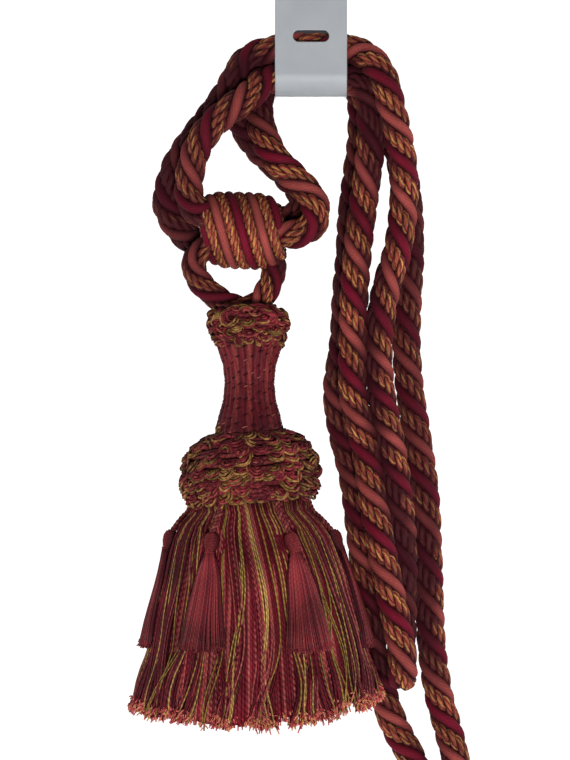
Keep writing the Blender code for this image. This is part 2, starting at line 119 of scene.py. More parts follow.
def spunYarn(name, colours, threads, pitch, grain=0.35, grooveShade=0.5, roughness=0.7, sheen=0.25,
             byThread=False, gloss=0.1, shade=(-0.15, 0.85), paintedShadeColour="#2a0a12", ply=0.0):
    # yarn spun of a few threads: u runs round it once, v runs along it in mm, and pitch is the
    # length in mm in which a thread goes once round. Each yarn carries its own tone, which picks
    # its colour; in a mixed ply the colour goes by the thread instead. Soft, low shine, faint fuzz
    material, tree, shader = startMaterial(
        name, roughness, IOR=1.46, Specular_IOR_Level=gloss, Sheen_Weight=sheen, Sheen_Roughness=0.5,
        Sheen_Tint=linearFromHex(yarnSettings["sheenTint"]))
    uv = addNode(tree, "TexCoord").outputs["UV"]
    place = addNode(tree, "SeparateXYZ", {0: uv})
    tone = addNode(tree, "Attribute", attribute_name="tone").outputs["Fac"]
    along = addNode(tree, "Math", {0: place.outputs["Y"], 1: 1.0 / pitch}, operation="MULTIPLY")
    turned = addNode(tree, "Math", {0: place.outputs["X"], 1: along})
    lane = addNode(tree, "Math", {0: turned, 1: float(threads)}, operation="MULTIPLY")
    wave = addNode(tree, "Math", {0: lane, 1: 1.0}, operation="PINGPONG")
    if byThread:
        around = addNode(tree, "Math", {0: turned}, operation="FRACT")
        shifted = addNode(tree, "Math", {0: around, 1: tone})
        drawn = addNode(tree, "VectorMath", {0: uv, 1: yarnSettings["tradeGrain"]}, operation="MULTIPLY")
        loose = addNode(tree, "TexNoise", {"Vector": drawn, "Scale": 1.0})
        traded = addNode(tree, "Math", {0: loose, 1: yarnSettings["trade"], 2: shifted},
                         operation="MULTIPLY_ADD")
        picked = addNode(tree, "Math", {0: traded}, operation="FRACT")
    else:
        # one of the plies of a two-ply yarn is the next darker dye
        pair = addNode(tree, "Math", {0: lane, 1: 2.0}, operation="FLOORED_MODULO")
        odd = addNode(tree, "Math", {0: pair, 1: 1.0}, operation="GREATER_THAN")
        picked = addNode(tree, "Math", {0: odd, 1: -ply, 2: tone}, operation="MULTIPLY_ADD")
    ramp = addNode(tree, "ValToRGB", {0: picked}, stops=colours)
    ramp.color_ramp.interpolation = "CONSTANT"
    # fibres: fine flecks drawn out along the threads
    fleckPlace = addNode(tree, "Math", {0: place.outputs["Y"], 1: yarnSettings["fleckStep"]},
                         operation="MULTIPLY")
    spot = addNode(tree, "CombineXYZ", {0: lane, 1: fleckPlace, 2: tone})
    flecks = addNode(tree, "TexNoise", {"Vector": spot, "Scale": yarnSettings["fleckScale"], "Detail": 3.0})
    # the dye is uneven over a few centimetres
    dye = addNode(tree, "TexNoise", {"Vector": addNode(tree, "TexCoord").outputs["Object"],
                                     "Scale": yarnSettings["dyeScale"], "Detail": 2.0})
    uneven = addNode(tree, "Math", {0: flecks, 1: dye})
    # two noises together keep between these two sums
    strength = addNode(tree, "MapRange", {"Value": uneven, "From Min": 0.6, "From Max": 1.4,
                                          "To Min": 1.0 - grain, "To Max": 1.0 + grain})
    # painted shade down the grooves between the threads and a painted highlight on their crowns
    deep = addNode(tree, "MapRange", {"Value": wave, "To Min": 1.0 - grooveShade,
                                      "To Max": 1.0 + yarnSettings["crown"]})
    both = addNode(tree, "Math", {0: strength, 1: deep}, operation="MULTIPLY")
    grey = addNode(tree, "CombineColor", {i: both for i in range(3)})
    colour = addNode(tree, "Mix", {"Factor": 1.0, 6: ramp, 7: grey}, data_type="RGBA", blend_type="MULTIPLY")
    # painted shade: a yarn goes to a deep wine where it is turned in against its neighbours
    paintedLight = addNode(tree, "Attribute", attribute_name="paintedLight").outputs["Fac"]
    clear = addNode(tree, "MapRange", {"Value": paintedLight, "From Min": shade[0], "From Max": shade[1]})
    shaded = addNode(tree, "Mix", {"Factor": clear, 6: linearFromHex(paintedShadeColour), 7: colour.outputs[2]},
                     data_type="RGBA")
    height = addNode(tree, "Math", {0: wave, 1: flecks})
    bump = addNode(tree, "Bump", {"Height": height, "Strength": 0.6, "Distance": yarnSettings["relief"] * mm})
    setInputs(shader, {"Base Color": shaded.outputs[2], "Normal": bump})
    return material


def paintedSteel():
    # cold-rolled steel strip under a grey baked paint: smooth, half gloss, clouded a little over
    # about 17 mm and with an orange peel of about 1 mm
    material, tree, shader = startMaterial("grey baked paint on steel", 0.5, Coat_Weight=0.05,
                                           Coat_Roughness=0.5, IOR=1.5)
    spot = addNode(tree, "TexCoord").outputs["Object"]
    cloudy = addNode(tree, "TexNoise", {"Vector": spot, "Scale": 60.0, "Detail": 4.0})
    paint = addNode(tree, "ValToRGB", {0: cloudy}, stops={0.25: "#8e9297", 0.75: "#999c9f"})
    peel = addNode(tree, "TexNoise", {"Vector": spot, "Scale": 900.0, "Detail": 2.0})
    rough = addNode(tree, "MapRange", {"Value": peel, "To Min": 0.46, "To Max": 0.58})
    bump = addNode(tree, "Bump", {"Height": peel, "Strength": 0.12, "Distance": 0.1 * mm})
    setInputs(shader, {"Base Color": paint, "Roughness": rough, "Normal": bump})
    return material


def paleBoard():
    # matt painted board under everything: plain, with a hardly visible mottle
    material, tree, shader = startMaterial("matt white board", 0.9)
    spot = addNode(tree, "TexCoord").outputs["Object"]
    mottle = addNode(tree, "TexNoise", {"Vector": spot, "Scale": 3.0})
    setInputs(shader, {"Base Color": addNode(tree, "ValToRGB", {0: mottle},
                                             stops={0.3: "#f7f7f7", 0.7: "#fbfbfb"})})
    return material


def plainViscose(name, colour):
    # a strand of fine parallel filaments, which shows one soft broad light down its side; the
    # painted shade runs from a side turned a little out to one turned full out
    return spunYarn(name, {0.0: colour, 1.0: colour}, 22, 60.0, grooveShade=0.2, grain=0.45, sheen=0.05,
                    gloss=0.06, shade=(0.05, 0.95))


matWine = plainViscose("wine viscose strand", "#5e0e20")
matRose = plainViscose("rose viscose strand", "#863c38")
# a ply of gold, terracotta, olive and rose threads on a dark red one, speckled and matt, with painted shade
# going to a dark wine between the plies
matMixed = spunYarn("mixed thread ply", {
    0.0: "#ac7e48", 0.09: "#7a2c26", 0.21: "#905034", 0.33: "#641e1e", 0.42: "#8c4232", 0.52: "#9e723c",
    0.61: "#722624", 0.72: "#8a5c34", 0.82: "#82322c", 0.92: "#5c161a"},
    10, 18.0, byThread=True, grooveShade=0.4, grain=0.6, sheen=0.02, gloss=0.12, shade=(0.22, 0.92),
    paintedShadeColour="#340c12")
# soft two-ply yarn left in loops: wine, rose, olive and gold, with painted shade deep dark between the yarns
matLoop = spunYarn("looped pile yarn", {
    0.0: "#641820", 0.20: "#7c262c", 0.42: "#8c3c36", 0.56: "#480e18", 0.66: "#715227", 0.84: "#9a703e"},
    2, 3.0, grain=0.8, sheen=0.03, gloss=0.14, ply=0.07, shade=(-0.1, 0.9), paintedShadeColour="#320c12")
# hardly twisted satin yarn drawn tight over the ribs, with a low broad shine
matHead = spunYarn("satin rib yarn", {0.0: "#6a1e24", 0.4: "#5c181f", 0.7: "#762b2a"},
                   9, 60.0, roughness=0.5, grooveShade=0.3, grain=0.6, sheen=0.02, gloss=0.08)
# thin dull thread that ties the ribs, here and there a paler one
matStitch = spunYarn("dark binding thread", {0.0: "#2c0810", 0.88: "#8a4a44"}, 2, 2.0, sheen=0.0)
# two-ply viscose of the long fringe, finely beaded by its twist: wine and rose with olive and gold
matFringe = spunYarn("fringe yarn", {
    0.0: "#5c121c", 0.18: "#6c1a25", 0.32: "#8c4440", 0.46: "#963c3c", 0.58: "#4c0d18", 0.76: "#866a30",
    0.90: "#a8864c"},
    2, 3.0, grain=0.8, roughness=0.5, sheen=0.01, gloss=0.08, ply=0.07)
# cut ends opened into fibre, which catch more light than the yarn
matBrushed = spunYarn("brushed fringe ends", {
    0.0: "#a84448", 0.3: "#b45e52", 0.55: "#8e2e34", 0.70: "#b87858", 0.90: "#a68644"},
    2, 2.0, grooveShade=0.1, grain=0.5, sheen=0.1)
# fine silky thread of the small tassels, one dusty rose with a soft shine
matDusty = spunYarn("dusty rose thread", {0.0: "#6e2226", 0.4: "#7c3032", 0.7: "#54161e"},
                    2, 2.4, grooveShade=0.25, grain=0.7, roughness=0.5, sheen=0.02, gloss=0.12)
# a hard-twisted small cord with deep grooves
matCord = spunYarn("twisted rose cord", {0.0: "#6e2a2c", 0.5: "#86423e"}, 4, 4.0, grooveShade=0.6, sheen=0.02)
# the dull dark filling under the yarns
matCore = spunYarn("deep wine core", {0.0: "#4a0f1c", 1.0: "#4a0f1c"}, 40, 400.0, grain=0.6, sheen=0.0)
matSteel = paintedSteel()
matBoard = paleBoard()
print("materials made")


def dress(piece, replaced=()):
    # everything hangs on the one body
    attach(piece, "root")
    if replaced:
        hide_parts(*replaced)
    return piece


def unit(vectors):
    return vectors / (np.linalg.norm(vectors, axis=-1, keepdims=True) + 1e-12)


def travelled(path):
    # the way covered along a path, or each of several, up to each of its points
    steps = np.linalg.norm(np.diff(path, axis=-2), axis=-1)
    return np.concatenate([np.zeros((*steps.shape[:-1], 1)), np.cumsum(steps, axis=-1)], axis=-1)


def dot(first, second):
    return np.sum(first * second, axis=-1, keepdims=True)


def sweep(paths, radius, sides, tone=0.5, material=0, facing=None, deep=1.0, paintedLitWay=None):
    # closed tubes of equal ring count along paths in mm, as arrays to be joined into one mesh;
    # facing gives an oval tube's short direction, and deep its depth as a share of its width;
    # the last argument is the way out of the bundle, and the side of a yarn turned from it gets painted shade
    paths = np.asarray(paths, float)
    if paths.ndim == 2:
        paths = paths[None]
    count, rings = paths.shape[:2]
    ahead = unit(np.gradient(paths, axis=1))
    upright = np.abs(ahead[:, 0, 2:3]) > 0.9
    side = np.cross(ahead[:, 0], np.where(upright, [[1.0, 0.0, 0.0]], [[0.0, 0.0, 1.0]]))
    across = np.empty_like(paths)
    for r in range(rings):
        side = unit(side - ahead[:, r] * dot(side, ahead[:, r]))
        across[:, r] = side
    outward = np.cross(ahead, across)
    if facing is not None:
        outward = unit(facing[None] - ahead * dot(facing[None], ahead))
        across = np.cross(outward, ahead)
        outward = outward * deep
    angle = np.arange(sides) / sides * tau
    ring = across[:, :, None] * np.cos(angle)[:, None] + outward[:, :, None] * np.sin(angle)[:, None]
    # painted light: 1 everywhere unless a way out is given, else how far each side of the yarn faces along it
    paintedLight = np.ones((count, rings, sides))
    if paintedLitWay is not None:
        paintedLight = dot(unit(ring), np.broadcast_to(paintedLitWay, paths.shape)[:, :, None])
    reach = np.broadcast_to(radius, (count, rings))
    points = (paths[:, :, None] + ring * reach[:, :, None, None]).reshape(-1, 3)
    way = travelled(paths)
    way += (np.arange(count) * 7.31 % 23.0)[:, None]      # no two neighbours turn in step
    index = np.arange(count * rings * sides).reshape(count, rings, sides)
    turned = np.roll(index, -1, axis=2)
    quads = np.stack([index[:, :-1], turned[:, :-1], turned[:, 1:], index[:, 1:]], axis=-1)
    u = np.arange(sides) / sides
    u = np.broadcast_to(np.stack([u, u + 1 / sides, u + 1 / sides, u], -1), quads.shape)
    v = np.stack([way[:, :-1], way[:, :-1], way[:, 1:], way[:, 1:]], -1)
    v = np.broadcast_to(v[:, :, None, :], quads.shape)
    caps = np.concatenate([index[:, 0, ::-1], index[:, -1]])
    capV = np.concatenate([way[:, 0], way[:, -1]])
    capUv = np.stack([np.full(caps.shape, 0.5), np.broadcast_to(capV[:, None], caps.shape)], -1)
    return {
        "points": points,
        "quads": quads.reshape(-1, 4),
        "quadUv": np.stack([u, v], -1).reshape(-1, 2),
        "caps": caps,
        "capUv": capUv.reshape(-1, 2),
        "tone": np.repeat(np.broadcast_to(tone, (count,)), rings * sides),
        "paintedLight": paintedLight.ravel(),
        "material": material,
    }


def joinTubes(name, bundles, materials, replaced=()):
    # one mesh of all the bundles, in metres
    corners, lengths, uvs, indices = [], [], [], []
    base = 0
    for bundle in bundles:
        quads, caps = bundle["quads"] + base, bundle["caps"] + base
        corners += [quads.ravel(), caps.ravel()]
        lengths += [np.full(len(quads), 4), np.full(len(caps), caps.shape[1])]
        uvs += [bundle["quadUv"], bundle["capUv"]]
        indices.append(np.full(len(quads) + len(caps), bundle["material"]))
        base += len(bundle["points"])
    corners = np.concatenate(corners)
    lengths = np.concatenate(lengths)
    starts = np.concatenate([[0], np.cumsum(lengths)[:-1]])
    mesh = bpy.data.meshes.new(name)
    mesh.vertices.add(base)
    mesh.vertices.foreach_set("co", np.concatenate([bundle["points"] for bundle in bundles]).ravel() * mm)
    mesh.loops.add(len(corners))
    mesh.loops.foreach_set("vertex_index", corners.astype(np.int32))
    mesh.polygons.add(len(lengths))
    mesh.polygons.foreach_set("loop_start", starts.astype(np.int32))
    mesh.polygons.foreach_set("material_index", np.concatenate(indices).astype(np.int32))
    mesh.update(calc_edges=True)
    mesh.uv_layers.new(name="yarnUv").data.foreach_set("uv", np.concatenate(uvs).ravel())
    for field in ("tone", "paintedLight"):
        layer = mesh.attributes.new(field, "FLOAT", "POINT")
        layer.data.foreach_set("value", np.concatenate([bundle[field] for bundle in bundles]))
    for material in materials:
        mesh.materials.append(material)
    mesh.shade_smooth()
    piece = bpy.data.objects.new(name, mesh)
    bpy.context.collection.objects.link(piece)
    print(f"{name}: {int(np.sum(lengths - 2))} triangles")
    return dress(piece, replaced)


def smoothPath(route, step):
    # evenly spaced points on one smooth curve through a route, all in mm
    points = [Vector(p) for p in route]
    dense = []
    for i in range(len(points) - 1):
        before, after = points[max(i - 1, 0)], points[min(i + 2, len(points) - 1)]
        start, end = points[i], points[i + 1]
        third = (end - start).length / 3
        lead = (end - before).normalized() * third
        trail = (after - start).normalized() * third
        dense.extend(interpolate_bezier(start, start + lead, end - trail, end, 12)[:-1])
    dense.append(points[-1])
    dense = np.array([tuple(p) for p in dense])
    way = travelled(dense)
    wanted = np.linspace(0.0, way[-1], max(int(round(way[-1] / step)), 2) + 1)
    return np.stack([np.interp(wanted, way, dense[:, i]) for i in range(3)], -1)


def helixAbout(path, radius, pitch, phase):
    # a path winding round another, from two directions square to it that are carried along
    # without turning; a negative pitch winds the other way
    ahead = unit(np.gradient(path, axis=0))
    side = np.array(Vector(ahead[0]).orthogonal())
    sides = []
    for direction in ahead:
        side = unit(side - direction * np.dot(side, direction))
        sides.append(side)
    turn = ((travelled(path) / pitch + phase) * tau)[:, None]
    return path + radius * (np.array(sides) * np.cos(turn) + np.cross(ahead, sides) * np.sin(turn))


# sizes are in mm, and shares are of the rope's radius
ropeSettings = {
    "radius": 7.1,
    "lay": -38.0,             # one turn of the four strands, left-handed
    "step": 0.95,
    "centre": 0.63,
    "deep": 0.37,
    "plainWide": 0.37,
    "mixedWide": 0.54,
    "plySize": 0.62,          # of a mixed strand's half depth
    "plyPitch": 3.2,          # of a mixed strand's half width
    "plyCount": 3,
    "plyShade": (0.84, 0.30),  # painted shade on a ply: its own light and how much it falls off behind the others
    "shade": 0.85,            # painted shade: how dark it gets between two turns of rope
    "shadeReach": 12.0,       # and how far off a turn still gives painted shade
    "ownTurn": 36.0,
    "inFront": (0.95, 1.4),   # painted shadow: how dark a turn that lies in front makes it, and how soon
    "packed": 0.34,           # painted shade: how dark the left bend is made, where three turns lie together
    "packedFrom": -20.0,
    "packedOver": 25.0,
}
strandMaterials = (matWine, matRose, matMixed)


def mixedStrand(strand, facing, paintedLitWay, wide, deep, tone):
    # three plies laid together across an oval strand, each with its own order of threads
    beside = np.cross(facing, unit(np.gradient(strand, axis=0)))
    plySize = deep * ropeSettings["plySize"]
    way = travelled(strand) / (wide * ropeSettings["plyPitch"])
    bundles = []
    level, fall = ropeSettings["plyShade"]
    for k in range(ropeSettings["plyCount"]):
        turn = ((way + k / ropeSettings["plyCount"]) * tau)[:, None]
        ply = strand + beside * np.cos(turn) * (wide - plySize) + facing * np.sin(turn) * (deep - plySize)
        # a ply gets painted shade where it turns down behind the others
        bundles.append(sweep(ply, plySize, 8, (tone + 0.31 * k) % 1.0, 2,
                             paintedLitWay=paintedLitWay * (level + fall * np.sin(turn))))
    return bundles


def plainStrand(strand, facing, paintedLitWay, wide, deep, material):
    return [sweep(strand[::2], wide, 12, 0.5, material, facing[::2], deep / wide, paintedLitWay=paintedLitWay[::2])]


def paintedLitShare(path, facing, others, settings):
    # painted shade: 1 on an open side, less where another turn of rope lies close, most of all in front of
    # it, and less in the left bend
    skip = 4
    turns = np.concatenate([path[::skip], others])
    way = turns[None] - path[:, None]
    reach = np.linalg.norm(way, axis=2)
    near = np.clip(1.0 - (reach - 2 * settings["radius"]) / settings["shadeReach"], 0.0, 1.0)
    apart = np.abs(np.arange(len(path))[:, None] - np.arange(0, len(path), skip)[None]) * settings["step"]
    near[:, :apart.shape[1]][apart < settings["ownTurn"]] = 0.0
    way /= np.maximum(reach, 1e-6)[..., None]
    darkest, rise = settings["inFront"]
    inFront = darkest * np.clip(-rise * way[..., 1], 0.0, 1.0)
    faced = np.clip(np.einsum("ik,ijk->ij", facing, way) + inFront, 0.0, 1.0)
    leftward = np.clip((settings["packedFrom"] - path[:, 0]) / settings["packedOver"], 0.0, 1.0)
    return (1.0 - settings["shade"] * np.max(near * faced, axis=1)) * (1.0 - settings["packed"] * leftward)


def layRope(path, radius, others, settings=ropeSettings):
    # two narrow plain strands and two plump mixed ones in turn: wine, mixed, rose, mixed
    deep = radius * settings["deep"]
    bundles = []
    for k in range(4):
        strand = helixAbout(path, radius * settings["centre"], settings["lay"], k / 4)
        facing = unit(strand - path)
        paintedLitWay = facing * paintedLitShare(path, facing, others, settings)[:, None]
        if k % 2:
            bundles += mixedStrand(strand, facing, paintedLitWay, radius * settings["mixedWide"], deep, 0.17 * k)
        else:
            bundles += plainStrand(strand, facing, paintedLitWay, radius * settings["plainWide"], deep, k // 2)
    return bundles


armARoute = (
    (-46, -16.5, -121.8), (-52, -16.5, -122), (-57.8, -16.5, -118.8), (-63.9, -17, -112.7),
    (-68.4, -17, -103.7), (-67.4, -17, -94), (-63.2, -17, -82.5), (-56.1, -17.2, -71.7),
    (-48, -19.5, -61.5), (-40.5, -20.8, -51), (-34.9, -20.8, -41.6), (-28.6, -21.1, -33.4),
    (-20.3, -22.8, -30.4), (-9.9, -23.4, -28.8), (9, -23.4, -28.8), (16, -23.6, -29),
    (22, -25.8, -30.8), (28, -30, -34.8), (32.7, -34.4, -41.5), (35.8, -35.5, -50), (38, -35.2, -60),
    (40.6, -33.2, -70), (43, -29, -82), (44, -25.4, -98), (41.5, -23.4, -122.6), (35.4, -23, -143.8),
    (32, -22.8, -167.4), (33.1, -22.8, -191), (37.9, -23, -216.9), (41.4, -21.5, -240),
    (43.8, -18.5, -266.4), (43.8, -16.4, -290), (43.4, -16, -308.8), (43.4, -17.8, -321),
    (43.4, -23.4, -327), (43.4, -29.2, -321), (42, -31, -309), (37.7, -31, -288), (33, -29.5, -264.4),
    (29, -26, -240), (25.6, -24, -217), (22, -24.8, -202.7), (19.8, -25.2, -188.6), (20, -25.2, -167.4),
    (20.4, -24.6, -148.5), (22.1, -23.4, -124.9), (25, -23.8, -101.4), (27.6, -24.8, -82),
    (28.5, -25.5, -70), (28.3, -25.5, -61), (27, -25.5, -54), (24.5, -25.2, -48.5),
    (20.6, -24.2, -44.9), (16, -23.5, -43.6), (9, -23.4, -43.4), (-9.9, -23.4, -43.4),
    (-16, -23.6, -43.6), (-21.5, -25.6, -44.1), (-26.5, -31, -50), (-34.5, -34.5, -56.5),
    (-45, -34.5, -65), (-52.8, -33, -75.4), (-56.6, -31.5, -87.2), (-57.6, -31, -97.6),
    (-54.6, -31, -105.7), (-48, -31, -109), (-42, -31, -110),
)
armBRoute = (
    (-20, -16, -111), (-13, -16, -110.2), (-6.1, -15.6, -107), (-3.7, -14, -99.5), (-9, -11.5, -91.6),
    (-14.5, -9.6, -85.4), (-21, -8.2, -79.5), (-27, -7.3, -73), (-31.5, -7.2, -66), (-35.5, -7.2, -57),
    (-36.8, -7.2, -47), (-34.5, -7.2, -38), (-28, -7.3, -31.5), (-19, -8, -30.4), (-9.9, -8.7, -29.2),
    (9, -8.7, -29.2), (16, -9, -29.2), (22, -10.6, -30.8), (28.2, -13.2, -34.8), (32.5, -14.8, -41),
    (35.3, -14.8, -50), (36.8, -14.8, -60), (39.5, -13.8, -70), (43, -11.8, -82), (45.8, -9.8, -95),
    (47.2, -8.8, -108), (47.6, -8.7, -124.9), (46.4, -8.7, -148.5), (45.8, -8.7, -167.4),
    (47.3, -8.7, -189.5), (51.5, -8.7, -216.9), (54.7, -8.7, -240), (56.1, -8.7, -266.4),
    (56.9, -8.7, -290), (57.9, -8.7, -313.1), (61.3, -8.7, -336.7), (65.5, -8.9, -352.2),
    (69.3, -9.2, -367.8), (70.3, -9.4, -379.6), (65.5, -9.5, -387.6), (58, -9.5, -387.1),
    (53.3, -9.3, -378.6), (47.6, -9, -365.4), (40.5, -8.8, -352.2), (34.9, -8.7, -336.7),
    (30.2, -8.4, -315.9), (28.5, -8.5, -299.4), (24.6, -8.7, -266.4), (20.4, -8.7, -233.4),
    (14.9, -8.7, -209.8), (12.7, -8.7, -191), (15.8, -8.7, -167.4), (16.8, -8.7, -148.5),
    (18.6, -8.7, -127.3), (19.8, -8.7, -106.1), (22.4, -7.8, -86), (24.2, -7.2, -72), (24.6, -7, -61),
    (24.3, -7, -53.5), (23.2, -7.2, -48.4), (20.6, -7.8, -45.1), (16, -8.5, -43.9), (9, -8.7, -43.8),
    (-9.9, -8.7, -43.8), (-16.2, -8.8, -43.8), (-21.2, -10.3, -44.3), (-24, -12.8, -50.3),
    (-24.8, -16.5, -57), (-23.6, -20.5, -65), (-20.5, -24, -74.5), (-15.6, -26.5, -83),
    (-6.6, -29.5, -92), (1.4, -31, -102.3), (1.4, -31, -112), (-5.2, -31, -117), (-12.3, -31, -117.6),
    (-20, -31, -117.2),
)
loopRoute = (
    (-45, -30, -122), (-51, -30, -125), (-54.8, -29.6, -129.4), (-55, -29, -134.4),
    (-52, -28.2, -140.4), (-46, -27.4, -146), (-39, -27, -150.4), (-31.6, -27, -152.4),
    (-25.2, -26.6, -150), (-20.6, -26, -143.6), (-18, -25.2, -137), (-17.4, -24.6, -130),
    (-19, -24, -122),
)
loopSettings = {"radius": 6.1}

pathA, pathB, loopPath = (smoothPath(route, ropeSettings["step"])
                          for route in (armARoute, armBRoute, loopRoute))
for name, node, route, length, path, other in (
        ("ropeArmA", "rope_arm_a", armARoute, 0.905, pathA, pathB),
        ("ropeArmB", "rope_arm_b", armBRoute, 1.031, pathB, pathA)):
    arm = joinTubes(name, layRope(path, ropeSettings["radius"], np.concatenate([other[::4], loopPath[::4]])),
                    strandMaterials, (node,))
joinTubes("tasselLoop", layRope(loopPath, loopSettings["radius"], np.concatenate([pathA[::4], pathB[::4]])),
          strandMaterials, ("tassel_loop",))
print("ropes laid")

# the tassel's leaning axis: height, then where it stands across and in depth, mm
axisRows = ((-148.0, -30.2, -27.0), (-168.0, -29.0, -27.6), (-210.0, -29.0, -29.6),
            (-235.0, -29.4, -31.4), (-280.0, -26.0, -34.4), (-352.0, -24.6, -39.0))


def tableValue(rows, key, column):
    rows = sorted(rows)
    return np.interp(key, [row[0] for row in rows], [row[column] for row in rows])


def axisPoint(height):
    height = np.asarray(height, float)
    return np.stack([tableValue(axisRows, height, 1), tableValue(axisRows, height, 2), height], -1)


def turnedPoint(height, half, angle, flatten=1.0):
    around = np.stack([half * np.cos(angle), half * np.sin(angle) * flatten, np.zeros_like(angle)], -1)
    return axisPoint(height) + around


def outOf(paths):
    # the way out of the tassel at each point
    return unit((paths - axisPoint(paths[..., 2])) * (1.0, 1.0, 0.0))


def faceOut():
    bpy.ops.object.mode_set(mode="EDIT")
    bpy.ops.mesh.select_all(action="SELECT")
    bpy.ops.mesh.normals_make_consistent(inside=False)
    bpy.ops.object.mode_set(mode="OBJECT")


def turnedBody(name, rows, inset, sides, flatten=1.0):
    # dark body under the yarns: a ring filled at the top and drawn down the axis row by row
    rows = sorted(rows, reverse=True)
    lastCentre = axisPoint(rows[0][0]) * mm
    bpy.ops.object.select_all(action="DESELECT")
    bpy.ops.mesh.primitive_circle_add(vertices=sides, radius=1.0, fill_type="NGON", location=lastCentre)
    piece = bpy.context.object
    piece.name = name
    bpy.ops.object.mode_set(mode="EDIT")
    bpy.ops.mesh.select_all(action="SELECT")
    reach = 1.0
    for height, half in rows:
        centre = axisPoint(height) * mm
        if height != rows[0][0]:
            bpy.ops.mesh.extrude_region_move(TRANSFORM_OT_translate={"value": centre - lastCentre})
        grow = max(half - inset, 1.0) * mm / reach
        bpy.ops.transform.resize(value=(grow, grow * (flatten if reach == 1.0 else 1.0), 1.0),
                                 center_override=tuple(centre))
        reach *= grow
        lastCentre = centre
    faceOut()
    bpy.ops.object.transform_apply(location=True, rotation=True, scale=True)
    bpy.ops.object.shade_smooth_by_angle(angle=radians(50))
    piece.data.materials.append(matCore)
    return dress(piece)


knotSettings = {"centre": (-32.3, -24.0, -115.5), "length": 38.0, "radius": 18.6, "band": 4.75,
                "tilt": 2.0, "slant": 0.13, "endTurns": 0.6, "plainWide": 0.88, "mixedWide": 1.16,
                "thick": 0.53, "taper": 0.34, "start": 1.1, "coilIn": 0.75, "coilOut": 1.2}


def buildKnot(settings):
    # four strands wound side by side, whose ends coil in over the barrel's ends
    half, band = settings["length"] / 2, settings["band"]
    size = band * settings["thick"]
    tilt = radians(settings["tilt"])
    bundles = []
    edge = half - band * 0.45
    for k in range(4):
        across = np.linspace(-edge, edge, 230)
        angle = -(across - (k - settings["start"]) * band) / (4 * band) * tau
        radius = settings["radius"] * (1.0 - settings["taper"] * np.abs(across / half) ** 5) - size
        coil = np.linspace(0.0, 1.0, 56)[1:]
        endAngle = settings["endTurns"] * tau * coil
        endRadius = radius[-1] * (1.0 - settings["coilIn"] * coil)
        endAcross = edge + settings["coilOut"] * coil
        across = np.concatenate([-endAcross[::-1], across, endAcross])
        angle = np.concatenate([angle[0] + endAngle[::-1], angle, angle[-1] - endAngle])
        radius = np.concatenate([endRadius[::-1], radius, endRadius])
        y, z = np.sin(angle), np.cos(angle)
        facing = np.stack([z * sin(tilt), y, z * cos(tilt)], -1)
        strand = np.stack([across * cos(tilt), across * 0.0, -across * sin(tilt)], -1)
        strand += facing * radius[:, None] + settings["centre"]
        strand[:, 0] -= settings["slant"] * z * radius
        # each strand gets painted shade on its side turned into the barrel
        if k % 2:
            bundles += mixedStrand(strand, facing, facing, size * settings["mixedWide"], size, 0.23 * k)
        else:
            bundles += plainStrand(strand, facing, facing, size * settings["plainWide"], size, k // 2)
    shares = np.linspace(-1.0, 1.0, 13)
    axis = np.stack([shares * half * cos(tilt), shares * 0.0, -shares * half * sin(tilt)], -1)
    barrel = settings["radius"] * (1.0 - settings["taper"] * np.abs(shares) ** 5) - size * 1.7
    bundles.append(sweep(axis * 0.97 + settings["centre"], barrel, 24, 0.5, 3))
    return joinTubes("woundKnot", bundles, (*strandMaterials, matCore), ("wound_knot",))


buildKnot(knotSettings)
print("knot wound")


def curl(settings, draw, angle, height, radius, start, turn, yarns, stretch, lean, lift, dish):
    # a bundle of yarns side by side, bent round a centre on the body: each yarn comes out of the
    # body at the start angle, swells out and goes back in after its turn; 0 is right and 90 down.
    # A dish of 1 stands the outer yarns proud of the inner ones, and -1 the other way about
    t = np.linspace(0.0, 1.0, settings["points"])[None, :]
    own = draw.normal(0.0, 1.0, (4, yarns, 1))
    reach = (radius - settings["pitch"] * np.arange(yarns))[:, None] + settings["reachOff"] * own[0]
    reach = np.maximum(reach * (1.0 + settings["waver"] * own[1] * np.sin(t * tau + own[2])), 0.4)
    phi = np.radians(start + turn * t) + settings["turnOff"] * own[3]
    across, below = reach * np.cos(phi), reach * np.sin(phi) * stretch
    across, below = across * cos(lean) - below * sin(lean), across * sin(lean) + below * cos(lean)
    z = height - below
    swell = np.sin(pi * t) ** 0.55
    half = tableValue(settings["profile"], z, 1) - settings["inset"] * (1.0 - swell)
    order = np.linspace(-1.0, 1.0, yarns)[:, None] if yarns > 1 else np.zeros((1, 1))
    half = half - settings["sunk"] + lift * swell * (0.6 + dish * (reach / radius - 0.5))
    half = half + settings["liftOff"] * own[1]
    half = half + settings["crest"] * swell * (1.0 - order ** 2)      # rounded like a skein
    middleHalf = tableValue(settings["profile"], height, 1)
    return turnedPoint(z, half, radians(angle) + across / middleHalf, settings["flatten"])


def curlTones(draw, yarns, goldShare):
    # wine and rose, with an olive or gold yarn here and there, most often at the edge
    tones = draw.uniform(0.07, 0.65, yarns)
    chance = np.full(yarns, goldShare * 0.5)
    chance[0] = goldShare
    gold = draw.uniform(0.74, 1.0)
    return np.where(draw.random(yarns) < chance, gold, tones)


def leaning(points, settings):
    # the body's tilt, about its middle
    tilt = radians(settings["tilt"])
    middle = axisPoint(np.mean([row[0] for row in settings["profile"]]))
    x, y, z = np.moveaxis(points - middle, -1, 0)
    return np.stack([x * cos(tilt) - z * sin(tilt), y, z * cos(tilt) + x * sin(tilt)], -1) + middle


